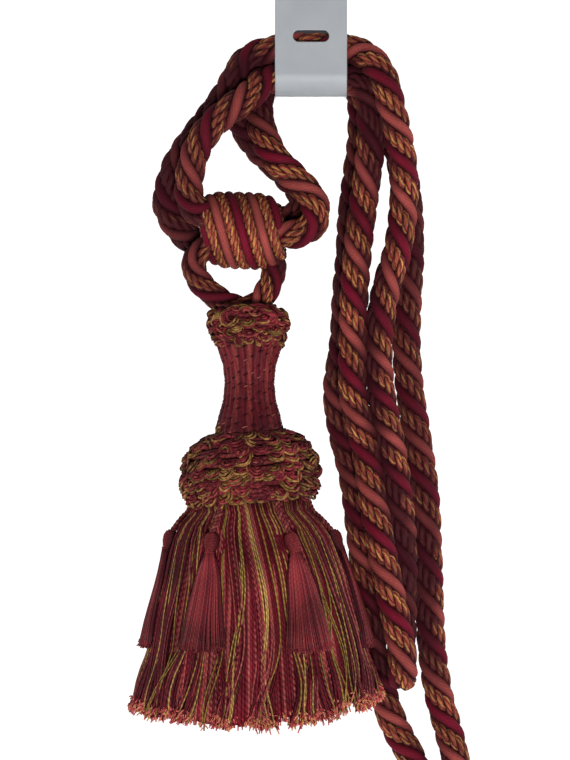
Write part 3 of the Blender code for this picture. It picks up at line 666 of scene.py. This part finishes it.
pileSettings = {
    "reachOff": 0.16,          # how far a yarn's reach, turn and lift are off
    "turnOff": 0.10,
    "liftOff": 0.18,
    "waver": 0.07,
    "bedYarn": 1.1,            # the thick yarn under each row, how deep it lies and its two places
    "bedIn": 2.2,
    "bedSteps": (-0.28, 0.28),
    "aside": 0.2,              # how far a curl is off its place, along the row and up
    "aloft": 0.9,
    "size": (0.88, 1.22),
    "stretch": (0.7, 1.15),
    "lean": 0.32,
    "dish": (-0.8, 1.2),
    "hang": (150.0, 190.0),    # degrees of turn of a hanging curl, and of one turned any way
    "roll": (190.0, 260.0),
}
# profiles are heights and half widths; rows are a row's height, its number of curls and their radius
ruffProfile = ((-149.5, 9.0), (-151.0, 14.5), (-155.0, 18.0), (-160.0, 18.6), (-165.0, 17.8), (-168.2, 16.4),
               (-171.0, 15.4))
ruffSettings = {
    **pileSettings, "seed": 4, "profile": ruffProfile, "flatten": 1.0, "tilt": 0.0, "inset": 3.2, "sunk": 0.5,
    "yarnRadius": 0.62, "pitch": 1.06, "points": 16, "gold": 0.6, "wild": 0.12, "lift": (0.5, 1.4),
    "crest": 0.9, "heart": 1.3,
    "rows": ((-152.4, 13, 3.2), (-156.6, 14, 3.6), (-160.6, 14, 3.6), (-164.4, 14, 3.4), (-167.4, 15, 2.6)),
}
# the ruff's big curls over the small ones: angle round the tassel, height, radius, start, turn,
# yarns, upright stretch, lean, lift, dish
ruffCurls = (
    (-62, -156.2, 7.2, -150, 215, 6, 0.62, 0.45, 2.4, -0.9),
    (-46, -161.0, 6.4, 170, -150, 5, 0.6, -0.3, 1.8, 0.4),
    (-112, -156.4, 6.4, -20, -200, 4, 0.7, -0.5, 1.9, 0.9),
    (-142, -160.2, 6.2, -20, -150, 5, 0.7, -0.45, 1.4, 0.5),
    (-130, -163.6, 4.8, 165, -150, 4, 0.7, 0.3, 1.2, 0.5),
    (-90, -161.8, 6.2, 172, -164, 5, 0.8, 0.12, 1.6, 0.7),
    (-90, -154.6, 5.4, 150, 190, 4, 0.6, 0.3, 1.3, -0.6),
    (-58, -166.0, 3.2, -95, 330, 2, 1.6, 0.25, 1.1, 1.0),
    (-18, -158.4, 5.8, -110, 200, 4, 0.8, 0.6, 1.2, -0.5),
    (-166, -156.8, 5.0, -60, -190, 4, 0.8, 0.4, 1.1, 0.6),
    (-108, -167.0, 2.8, -80, 300, 2, 1.5, -0.1, 0.6, 0.8),
)


def pileRows(settings, draw):
    # row by row, mostly hanging like smiles with some curls turned any way
    bundles = []
    for row, (height, count, size) in enumerate(settings["rows"]):
        last = row == len(settings["rows"]) - 1
        # a bed of thick yarn under the row closes the gaps between its curls
        turn = np.linspace(0.0, tau, 73)
        for step in settings["bedSteps"]:
            z = height + step * size + 0.3 * np.sin(turn * 9 + row)
            half = tableValue(settings["profile"], z, 1) - settings["bedIn"] + 0.35 * np.sin(turn * 13 + step)
            bed = leaning(turnedPoint(z, half, turn, settings["flatten"]), settings)
            # the bed yarn gets half the painted light of a curl, so a deeper painted shade
            bundles.append(sweep(bed, settings["bedYarn"], 6, draw.uniform(0.0, 0.6), paintedLitWay=0.5 * outOf(bed)))
        for k in range(count):
            off = draw.uniform(-settings["aside"], settings["aside"])
            angle = 360.0 * (k + 0.5 * (row % 2) + off) / count
            radius = size * draw.uniform(*settings["size"])
            yarns = int((radius - settings["heart"]) / settings["pitch"] + 1.5)
            if draw.random() < settings["wild"] and not last:
                start, turn = draw.uniform(0.0, 360.0), draw.choice([-1, 1]) * draw.uniform(*settings["roll"])
            else:
                start, turn = 174 + draw.normal(0.0, 12.0), -draw.uniform(*settings["hang"])
            middle = height + draw.uniform(-settings["aloft"], settings["aloft"])
            path = curl(settings, draw, angle, middle, radius, start, turn, yarns,
                        draw.uniform(*settings["stretch"]), draw.normal(0.0, settings["lean"]),
                        draw.uniform(*settings["lift"]), draw.uniform(*settings["dish"]))
            path = leaning(path, settings)
            tones = curlTones(draw, yarns, settings["gold"])
            # the curl's yarns get painted shade on their sides turned into the tassel
            bundles.append(sweep(path, settings["yarnRadius"], 5, tones, paintedLitWay=outOf(path)))
    return bundles


def buildRuff(settings):
    # the back carries the same curls turned half round, each a little off
    draw = np.random.default_rng(settings["seed"])
    bundles = pileRows(settings, draw)
    for back in (0, 180):
        for angle, height, radius, start, *rest in ruffCurls:
            off = draw.normal(0.0, 4.0) if back else 0.0
            path = curl(settings, draw, angle + back + off, height, radius, start + off * 3, *rest)
            tones = curlTones(draw, rest[1], settings["gold"])
            # these yarns also get painted shade on their sides turned into the tassel
            bundles.append(sweep(path, settings["yarnRadius"], 6, tones, paintedLitWay=outOf(path)))
    joinTubes("topRuff", bundles, (matLoop,), ("top_ruff",))


buildRuff(ruffSettings)
turnedBody("ruffCore", ruffProfile, 3.0, 24)

collarProfile = ((-210.5, 15.5), (-211.4, 20.0), (-214.4, 25.0), (-219.0, 29.2), (-225.0, 31.4),
                 (-231.0, 32.0), (-237.0, 31.6), (-242.0, 30.2), (-244.4, 29.0))
collarSettings = {
    **pileSettings, "seed": 11, "profile": collarProfile, "flatten": 0.9, "tilt": 5.0, "inset": 3.0,
    "sunk": 0.9, "yarnRadius": 0.68, "pitch": 1.14, "points": 14, "gold": 0.62, "wild": 0.14,
    "lift": (0.4, 2.2), "crest": 1.2, "heart": 1.4,
    "rows": ((-210.8, 17, 3.0), (-213.4, 20, 3.8), (-217.2, 23, 4.3), (-221.6, 25, 4.7), (-226.0, 26, 4.8),
             (-229.8, 26, 4.7), (-233.2, 26, 4.5), (-236.2, 27, 4.1), (-238.8, 28, 3.4), (-240.6, 28, 2.5)),
}
joinTubes("collarRuff", pileRows(collarSettings, np.random.default_rng(collarSettings["seed"])), (matLoop,),
          ("collar_ruff",))
turnedBody("collarCore", collarProfile, 3.0, 32, collarSettings["flatten"])
print("looped pile made")

headProfile = ((-168.6, 16.2), (-173.0, 14.6), (-179.0, 12.6), (-187.5, 11.8), (-196.0, 12.6),
               (-203.0, 14.6), (-209.2, 16.2))
headSettings = {"seed": 7, "ribs": 24, "top": -166.5, "foot": -211.5, "rings": 76, "wide": 1.12, "deep": 0.62,
                "footShade": 0.9, "stitch": 6.2, "pinch": 0.12, "pinchLength": 0.9, "thread": 0.32,
                "tieReach": 0.62, "tieIn": 0.45}


def buildHead(settings):
    ribs = settings["ribs"]
    heights = np.linspace(settings["top"], settings["foot"], settings["rings"])
    halves = tableValue(headProfile, heights, 1)
    # painted shade down to the foot, which sits in the shade of the collar
    lit = 1.0 - settings["footShade"] * np.linspace(0.0, 1.0, settings["rings"])[:, None] ** 2
    bundles = []
    draw = np.random.default_rng(settings["seed"])
    for k in range(ribs):
        angle = tau * k / ribs
        width = pi * halves / ribs * settings["wide"]
        pinched = np.zeros_like(heights)
        stitches = np.arange(settings["top"] - 2.0 - (k % 2) * settings["stitch"] / 2, settings["foot"],
                             -settings["stitch"]) + draw.uniform(-0.9, 0.9)
        for z in stitches + draw.normal(0.0, 0.8, len(stitches)):
            # a stitch lies across the groove beside the rib and draws the rib in
            pinched = np.maximum(pinched, np.exp(-((heights - z) / settings["pinchLength"]) ** 2))
            reach = tableValue(headProfile, z, 1)
            lane = np.linspace(-1.0, 1.0, 6)
            turn = angle + pi / ribs + lane * pi / ribs * settings["tieReach"]
            tie = turnedPoint(z + lane * 0.4, reach - settings["tieIn"] + 0.3 * np.abs(lane), turn)
            bundles.append(sweep(tie, settings["thread"], 5, draw.random(), 1))
        path = turnedPoint(heights, halves - width * settings["deep"], np.full(len(heights), angle))
        path = path + draw.normal(0.0, 0.07, path.shape)
        # a rib gets painted shade on its sides turned in, deeper towards the foot
        bundles.append(sweep(path, width * (1.0 - settings["pinch"] * pinched), 10, draw.random(), 0,
                             outOf(path), settings["deep"], outOf(path) * lit))
    return joinTubes("tasselHead", bundles, (matHead, matStitch), ("tassel_head",))


turnedBody("headCore", headProfile, 1.4, 24)
buildHead(headSettings)
print("head covered")

# drop below the skirt's top, half width, half depth
skirtRows = ((0.0, 28.0, 24.2), (4.0, 33.6, 26.4), (10.0, 38.2, 28.4), (28.0, 44.2, 31.0), (50.0, 50.5, 32.5),
             (78.0, 57.0, 33.0), (104.0, 63.0, 33.5))
# yarn length by the place from left, -1, to right, 1
footRows = ((-1.0, 90.4), (-0.8, 93.0), (-0.3, 97.0), (0.0, 96.0), (0.4, 92.8), (0.72, 89.4), (1.0, 85.0))
smallAngles = (-119.0, -62.0, 0.0, 62.0, 120.0, 180.0)
skirtSettings = {
    "seed": 21, "top": -248.4, "root": -8.0, "around": 250, "layers": 4, "layerStep": 0.95,
    "yarnRadius": 0.50, "rings": 17,
    "clumps": 38, "gather": 0.36, "ragged": 0.8, "goldShare": 0.10, "topShade": 0.6, "tips": 5,
    "swing": 9.0, "sway": 4.4, "waver": 1.6, "foot": 3.2, "ownWaver": 0.55, "ownLean": 0.6, "ownFlare": 4.5,
    # the way in under a small tassel, by the drop: room for its cord, its head and its fringe
    "dent": ((0.0, 0.3), (4.5, 0.7), (8.6, 2.8), (14.0, 3.8), (19.0, 2.0), (24.0, 1.3), (60.0, 1.9)),
    # the filling: yarns, their reach as a share of the skirt's, their radius
    "fill": ((260, 0.90, 0.85), (180, 0.78, 1.0), (110, 0.62, 1.4), (60, 0.38, 1.8)),
}
# the olive and gold yarns that wander over the wine ones
goldSettings = {**skirtSettings, "clumps": 36, "gather": 0.0, "sway": 5.6, "foot": 4.6, "beside": 0.021,
                "thin": 0.84}
smallSettings = {
    "seed": 40, "headTop": 8.6, "headLength": 10.2, "length": 45.0, "half": 11.0, "neck": 1.4, "knob": 2.1,
    "thick": 1.5, "threadRadius": 0.48, "lanes": 28, "layers": (1.3, 0.85, 0.4, -0.05, -0.5, -1.0),
    "bound": 2.1, "brushed": 0.7,
    "headRows": ((0.0, 1.6), (1.2, 2.9), (3.2, 3.5), (5.4, 3.3), (7.2, 2.6), (8.4, 2.2), (10.2, 2.6)),
    "windings": 13, "windingRadius": 0.42, "wound": 9.6,
    # the cord's way out from under the collar: drop, way in
    "cordRoute": ((-6.0, 0.8), (-2.5, -0.2), (0.0, -1.3), (1.5, -0.9), (4.5, 0.1), (9.6, 0.0)),
    "cordRadius": 0.86, "cordYarn": 0.80, "cordLay": 6.0,
}
smallNeck = smallSettings["headTop"] + smallSettings["headLength"]


def girthStep(drop, angle):
    half, depth = tableValue(skirtRows, drop, 1), tableValue(skirtRows, drop, 2)
    return np.hypot(half * np.sin(angle), depth * np.cos(angle))


def skirtPoint(drop, angle, share=1.0, inward=0.0):
    drop, angle = np.broadcast_arrays(np.asarray(drop, float), np.asarray(angle, float))
    half = tableValue(skirtRows, drop, 1) * share - inward
    depth = tableValue(skirtRows, drop, 2) * share - inward
    flat = np.stack([half * np.cos(angle), depth * np.sin(angle), np.zeros_like(drop)], -1)
    return axisPoint(skirtSettings["top"] - drop) + flat


def smallHalfWidth(drop, settings=smallSettings):
    opened = np.clip((drop - smallNeck) / settings["length"], 0.0, 1.0)
    knob = np.clip((drop - settings["headTop"] + 2.5) / 3.0, 0.0, 1.0)
    top = settings["neck"] + settings["knob"]
    return settings["neck"] + settings["knob"] * knob + (settings["half"] - top) * opened ** 0.8


def skirtDent(drop, angle):
    # the skirt gives way under a small tassel
    fade = np.clip(1.0 - (drop - smallNeck - smallSettings["length"]) / 12.0, 0.0, 1.0)
    deepest = np.zeros_like(drop)
    for degrees in smallAngles:
        away = np.abs((angle - radians(degrees) + pi) % tau - pi) * girthStep(drop, angle)
        deepest = np.maximum(deepest, 1.0 - np.maximum(away - smallHalfWidth(drop) - 1.5, 0.0) / 4.0)
    return tableValue(skirtSettings["dent"], drop, 1) * np.maximum(deepest, 0.0) * fade


def fringePaths(angle, whole, depth, clump, settings, draw):
    # yarns from under the collar to the foot, gathered into clumps that sway together
    count, clumps = len(angle), settings["clumps"]
    share = np.linspace(0.0, 1.0, settings["rings"])[None, :] ** 0.95
    place = (angle / tau * clumps) % clumps
    which = place.astype(int) % clumps
    centre = (which + 0.5) / clumps * tau
    within = (place - np.floor(place) - 0.5)[:, None]
    drop = settings["root"] + (whole[:, None] - settings["root"]) * share
    gather = 1.0 - settings["gather"] * np.sin(share * pi * 0.8)
    turned = centre[:, None] + within * tau / clumps * gather
    shift, phase = clump["shift"][which][:, None], clump["phase"][which][:, None]
    wander = draw.normal(0.0, 1.0, (4, count, 1))
    # the whole skirt swings round a little on its way down
    swing = settings["swing"] * np.sin(angle[:, None]) ** 2 * np.sin(share * pi * 0.7)
    sway = (swing + shift * share ** 1.6 * settings["sway"]
            + np.sin(share * 6.0 + phase) * share * settings["waver"]
            + np.sin(share * 10.0 + phase * 3.0) * share ** 3 * settings["foot"]
            + np.sin(share * 9.0 + wander[0] * 3.0) * share * wander[1] * settings["ownWaver"]
            + wander[2] * share ** 2 * settings["ownLean"]
            + wander[3] * np.maximum(share - 0.72, 0.0) * settings["ownFlare"])
    turned = turned + sway / np.maximum(girthStep(drop, angle[:, None]), 15.0)
    crown = 1.2 * (within * 2) ** 2 * np.sin(share * pi * 0.9)
    inward = (skirtDent(drop, turned) + depth + crown + draw.uniform(-0.35, 0.35, (count, 1))
              + settings["yarnRadius"])
    return skirtPoint(drop, turned, 1.0, inward), which


def fringeLength(angle, clump, draw, settings=skirtSettings):
    which = (angle / tau * settings["clumps"]).astype(int) % settings["clumps"]
    return (tableValue(footRows, np.cos(angle), 1) + draw.normal(0.0, settings["ragged"], len(angle))
            + 0.8 * np.sin(clump["phase"][which]))


tipSettings = {"back": (0.4, 4.6), "run": (1.2, 2.2), "splay": 0.5, "outward": 0.3, "bend": 1.5,
               "radii": (0.36, 0.40, 0.34)}


def brushedEnds(paths, number, size, draw, settings=tipSettings):
    # each cut end opens into a few fine fibres
    tips = []
    for _ in range(number):
        run = unit(paths[:, -1] - paths[:, -2])
        start = paths[:, -1] - run * size * draw.uniform(*settings["back"], (len(paths), 1))
        run = run * size * draw.uniform(*settings["run"], (len(paths), 1))
        side = draw.normal(0.0, settings["splay"], run.shape) + settings["outward"] * outOf(paths)[:, -1]
        side = side * size
        fibre = np.stack([start, start + run * 0.5 + side, start + run + side * settings["bend"]], axis=1)
        tips.append(sweep(fibre, size * np.array(settings["radii"]), 3, draw.random(len(paths))))
    return tips


def buildSkirt(settings, gold):
    draw = np.random.default_rng(settings["seed"])
    count = settings["around"]
    clump = {name: draw.normal(0.0, 1.0, settings["clumps"]) for name in ("shift", "tone")}
    clump["phase"] = draw.uniform(0.0, tau, settings["clumps"])
    bundles, tips = [], []
    # painted shade on the roots, which sit in the shade of the collar
    lit = 1.0 - settings["topShade"] * np.exp(-8.0 * np.linspace(0.0, 1.0, settings["rings"]))[None, :, None]
    for layer in range(settings["layers"]):
        angle = tau * ((np.arange(count) + draw.uniform(-0.3, 0.3, count) + 0.37 * layer) / count % 1.0)
        whole = fringeLength(angle, clump, draw)
        path, which = fringePaths(angle, whole, layer * settings["layerStep"], clump, settings, draw)
        tone = np.abs(clump["tone"][which] * 0.16 + 0.24 + draw.normal(0.0, 0.2, count)) % 0.75
        tone = np.where(draw.random(count) < settings["goldShare"], draw.uniform(0.84, 1.0, count), tone)
        bundles.append(sweep(path, settings["yarnRadius"], 5, tone, paintedLitWay=outOf(path) * lit))
        tips += brushedEnds(path, settings["tips"], 1.0, draw)
    # olive and gold yarns, one to three together
    groups = gold["clumps"]
    own = {"shift": draw.normal(0.0, 1.0, groups), "phase": draw.uniform(0.0, tau, groups)}
    angle, tone = [], []
    for k in range(groups):
        middle = tau * (k + draw.uniform(0.2, 0.6)) / groups
        shade = draw.uniform(0.85, 1.0)
        for j in range(draw.choice([1, 1, 2, 2, 3])):
            angle.append(middle + j * gold["beside"])
            tone.append(shade)
    angle = np.array(angle)
    path, which = fringePaths(angle, fringeLength(angle, clump, draw), 0.0, own, gold, draw)
    bundles.append(sweep(path, gold["yarnRadius"] * gold["thin"], 6, tone, paintedLitWay=outOf(path) * lit))
    tips += brushedEnds(path, settings["tips"], 1.0, draw)
    inner = []
    for number, reach, radius in settings["fill"]:
        angle = tau * (np.arange(number) + draw.uniform(-0.3, 0.3, number)) / number
        whole = fringeLength(angle, clump, draw) - 0.6
        drop = settings["root"] + (whole[:, None] - settings["root"]) * np.linspace(0.0, 1.0, 8)[None, :]
        path = skirtPoint(drop, angle[:, None], reach, np.where(drop < 0.0, 1.5, 0.0))
        inner.append(sweep(path, radius, 5, draw.uniform(0.0, 0.6, number)))
        if reach > 0.7:
            tips += brushedEnds(path, 3, 1.0, draw)
    joinTubes("skirtFringe", bundles, (matFringe,), ("tassel_skirt",))
    joinTubes("skirtFill", inner, (matFringe,))
    joinTubes("skirtTips", tips, (matBrushed,))


buildSkirt(skirtSettings, goldSettings)
print("skirt hung")


def smallHead(start, down, around, out, settings):
    # a round core and the thread wound over it
    along = np.linspace(0.0, settings["headLength"], 24)
    core = sweep(start + down * along[:, None], tableValue(settings["headRows"], along, 1) - 0.3, 14, 0.0)
    turns = settings["windings"]
    t = np.linspace(0.0, 1.0, turns * 12)
    along = t * settings["wound"] + 0.2
    reach = tableValue(settings["headRows"], along, 1)
    winding = (start + down * along[:, None] + around * (np.cos(t * turns * tau) * reach)[:, None]
               + out * (np.sin(t * turns * tau) * reach)[:, None])
    # the winding gets painted shade on its side turned in
    return [core, sweep(winding, settings["windingRadius"], 6, 0.0, paintedLitWay=outOf(winding))]


def buildSmallTassel(number, degrees, settings):
    draw = np.random.default_rng(settings["seed"] + number)
    angle = radians(degrees)
    path = smoothPath([skirtPoint(drop, angle, 1.0, inward) for drop, inward in settings["cordRoute"]], 0.6)
    cord = []
    for phase in (0.0, 1 / 3, 2 / 3):
        yarn = helixAbout(path, settings["cordRadius"], settings["cordLay"], phase)
        # each cord yarn gets painted shade on its side turned into the cord
        paintedLitWay = helixAbout(path, 1.0, settings["cordLay"], phase) - path
        cord.append(sweep(yarn, settings["cordYarn"], 7, phase, paintedLitWay=paintedLitWay))
    joinTubes(f"smallCord{number}", cord, (matCord,), (f"small_cord_{number}",))
    start = skirtPoint(settings["headTop"], angle)
    down = unit(skirtPoint(smallNeck, angle) - start)
    out = unit(np.cross(down, skirtPoint(settings["headTop"], angle + 0.02) - start))
    around = np.cross(out, down)
    bundles = smallHead(start, down, around, out, settings)
    share = np.linspace(0.0, 1.0, 9)[None, :]
    for layer, lift in enumerate(settings["layers"]):
        # a layer of threads fans out from under the head; a negative lift is the fan's back
        count = settings["lanes"] - (layer % 2)
        lane = np.linspace(-1.0, 1.0, count) * (1.0 if layer % 2 == 0 else 0.97)
        lane = (lane + draw.uniform(-0.02, 0.02, count))[:, None]
        whole = settings["length"] - 1.5 * np.abs(lane) + draw.normal(0.0, 0.5, (count, 1))
        drop = smallNeck - 1.0 + whole * share
        width = smallHalfWidth(drop)
        edge = np.sqrt(np.maximum(1.0 - lane ** 2, 0.0))
        thick = settings["thick"] * (0.6 + 0.4 * share) * lift * (0.45 + 0.55 * edge)
        sway = draw.normal(0.0, 0.35, (count, 1)) * share ** 2 + 0.5 * np.sin(share * 4 + number + lane * 3)
        turn = angle + (width * lane + sway * share) / girthStep(drop, angle)
        path = skirtPoint(drop, turn) + out * thick[..., None]
        bound = (start + down * (settings["headLength"] - 1.2 + whole * share)[..., None]
                 + settings["bound"] * (around * lane[..., None]
                                        + out * (edge * np.clip(lift, -1.0, 1.0))[..., None]))
        loose = np.clip(share / 0.2, 0.0, 1.0)[..., None] ** 0.7
        path = bound + (path - bound) * loose
        # each fan thread gets painted shade on its side turned in
        bundles.append(sweep(path, settings["threadRadius"], 4, draw.uniform(0.0, 1.0, count), paintedLitWay=out))
        if layer < 3:
            bundles += brushedEnds(path, 1, settings["brushed"], draw)
    joinTubes(f"smallTassel{number}", bundles, (matDusty,), (f"small_tassel_{number}",))


for number, degrees in enumerate(smallAngles, 1):
    buildSmallTassel(number, degrees, smallSettings)
print("small tassels tied on")

hookSettings = {
    "width": 34.0, "thick": 1.2, "depth": 32.1, "bend": 10.5, "backTop": 11.8, "frontTop": 5.0,
    "bottom": -52.1, "slotHalf": 8.5, "slotRadius": 2.75, "slotHeight": -24.2, "soften": 0.4, "inward": -1.0,
}


def finishWith(piece, kind, **values):
    bpy.ops.object.modifier_add(type=kind)
    modifier = piece.modifiers[-1]
    for name, value in values.items():
        setattr(modifier, name, value)
    bpy.ops.object.modifier_apply(modifier=modifier.name)


def slotCutter(settings, front):
    # a disc drawn apart to both sides and through the front leg
    bpy.ops.object.select_all(action="DESELECT")
    bpy.ops.mesh.primitive_circle_add(vertices=32, radius=settings["slotRadius"] * mm, fill_type="NGON",
                                      location=(0.0, front + 3.0 * mm, settings["slotHeight"] * mm),
                                      rotation=(pi / 2, 0.0, 0.0))
    cutter = bpy.context.object
    bpy.ops.object.transform_apply(location=True, rotation=True, scale=True)
    reach = (settings["slotHalf"] - settings["slotRadius"]) * mm
    for side in (1, -1):
        bpy.ops.object.mode_set(mode="EDIT")
        bpy.ops.mesh.select_all(action="DESELECT")
        bpy.ops.mesh.select_mode(type="VERT")
        bpy.ops.object.mode_set(mode="OBJECT")
        for vertex in cutter.data.vertices:
            vertex.select = vertex.co.x * side > 0.01 * mm
        bpy.ops.object.mode_set(mode="EDIT")
        bpy.ops.transform.translate(value=(reach * side, 0.0, 0.0))
    bpy.ops.mesh.select_all(action="SELECT")
    bpy.ops.mesh.extrude_region_move(TRANSFORM_OT_translate={"value": (0.0, -6.0 * mm, 0.0)})
    faceOut()
    return cutter


def buildHook(settings):
    # the strip's outer face is drawn down, folded, drawn back, folded and drawn up behind,
    # then given its thickness; a round-ended slot is cut and all the rims are softened
    bend, front, bottom, top = (settings["bend"] * mm, -settings["depth"] * mm, settings["bottom"] * mm,
                                settings["frontTop"] * mm)
    bpy.ops.object.select_all(action="DESELECT")
    bpy.ops.mesh.primitive_plane_add(size=settings["width"] * mm, location=(0.0, front, top))
    hook = bpy.context.object
    hook.name = "stripHook"
    bpy.ops.object.transform_apply(location=True, rotation=True, scale=True)
    bpy.ops.object.mode_set(mode="EDIT")
    bpy.ops.mesh.select_all(action="SELECT")
    bpy.ops.transform.resize(value=(1.0, 0.0, 1.0), center_override=(0.0, front, top))
    bpy.ops.mesh.remove_doubles(threshold=0.01 * mm)
    steps = (("draw", (0.0, 0.0, bottom + bend - top)),
             ("fold", (0.0, bend + front, bottom + bend)),
             ("draw", (0.0, -front - 2 * bend, 0.0)),
             ("fold", (0.0, -bend, bottom + bend)),
             ("draw", (0.0, 0.0, settings["backTop"] * mm - bottom - bend)))
    for kind, value in steps:
        if kind == "draw":
            bpy.ops.mesh.extrude_region_move(TRANSFORM_OT_translate={"value": value})
        else:
            bpy.ops.mesh.spin(steps=14, angle=-pi / 2, center=value, axis=(1.0, 0.0, 0.0))
    bpy.ops.object.mode_set(mode="OBJECT")
    finishWith(hook, "SOLIDIFY", thickness=settings["thick"] * mm, offset=settings["inward"],
               use_even_offset=True)
    faceOut()
    cutter = slotCutter(settings, front)
    bpy.context.view_layer.objects.active = hook
    finishWith(hook, "BOOLEAN", operation="DIFFERENCE", solver="EXACT", object=cutter)
    finishWith(hook, "BEVEL", width=settings["soften"] * mm, segments=2, limit_method="ANGLE",
               angle_limit=radians(50))
    bpy.data.objects.remove(cutter)
    hook.select_set(True)
    bpy.ops.object.shade_smooth()
    finishWith(hook, "WEIGHTED_NORMAL", weight=100)
    hook.data.materials.append(matSteel)
    return dress(hook, ("hook",))


buildHook(hookSettings)
print("hook folded")

stageSettings = {
    "floor": -1.25,
    "size": 10.0,
    "lights": (                # name, place, size, power, aimed at the camera's target
        ("keyLight", (0.10, -1.5, -0.60), 0.35, 22.0),
        ("leftLight", (-1.6, 0.25, -0.1), 0.9, 9.0),
        ("rightLight", (1.6, 0.25, -0.1), 0.9, 13.0),
        ("backLight", (0.1, 1.6, -0.2), 0.6, 20.0),
    ),
    "skyFrom": (0.0, 0.5, 2.0),      # a broad light from above, for the floor
    "skyPower": 0.9,
    "skyAngle": 70.0,
    "airSeen": 1.15,           # the white air looks brighter than the light it casts
    "airCast": 0.22,
}


def addStage(settings):
    bpy.ops.object.select_all(action="DESELECT")
    bpy.ops.mesh.primitive_plane_add(size=settings["size"], location=(0, 0, settings["floor"]))
    floor = bpy.context.object
    floor.name = "paleFloor"
    floor.data.materials.append(matBoard)


def addLights(settings):
    target = Vector(cameraSettings["target"])
    for name, place, size, power in settings["lights"]:
        bpy.ops.object.light_add(type="AREA", location=place)
        light = bpy.context.object
        light.name = name
        light.data.size = size
        light.data.energy = power
        light.rotation_euler = (target - Vector(place)).to_track_quat("-Z", "Y").to_euler()
    bpy.ops.object.light_add(type="SUN", location=settings["skyFrom"])
    sky = bpy.context.object
    sky.name = "skyLight"
    sky.data.energy = settings["skyPower"]
    sky.data.angle = radians(settings["skyAngle"])
    sky.rotation_euler = Vector(settings["skyFrom"]).to_track_quat("Z", "Y").to_euler()
    scene = bpy.context.scene
    scene.world = scene.world or bpy.data.worlds.new("studio")
    scene.world.use_nodes = True
    tree = scene.world.node_tree
    seen = addNode(tree, "LightPath").outputs["Is Camera Ray"]
    strength = addNode(tree, "MapRange", {"Value": seen, "To Min": settings["airCast"],
                                          "To Max": settings["airSeen"]})
    setInputs(tree.nodes["Background"], {"Color": (1.0, 1.0, 1.0, 1.0), "Strength": strength})
    scene.view_settings.view_transform = "Standard"


addStage(stageSettings)
addLights(stageSettings)
print("floor and lights placed")
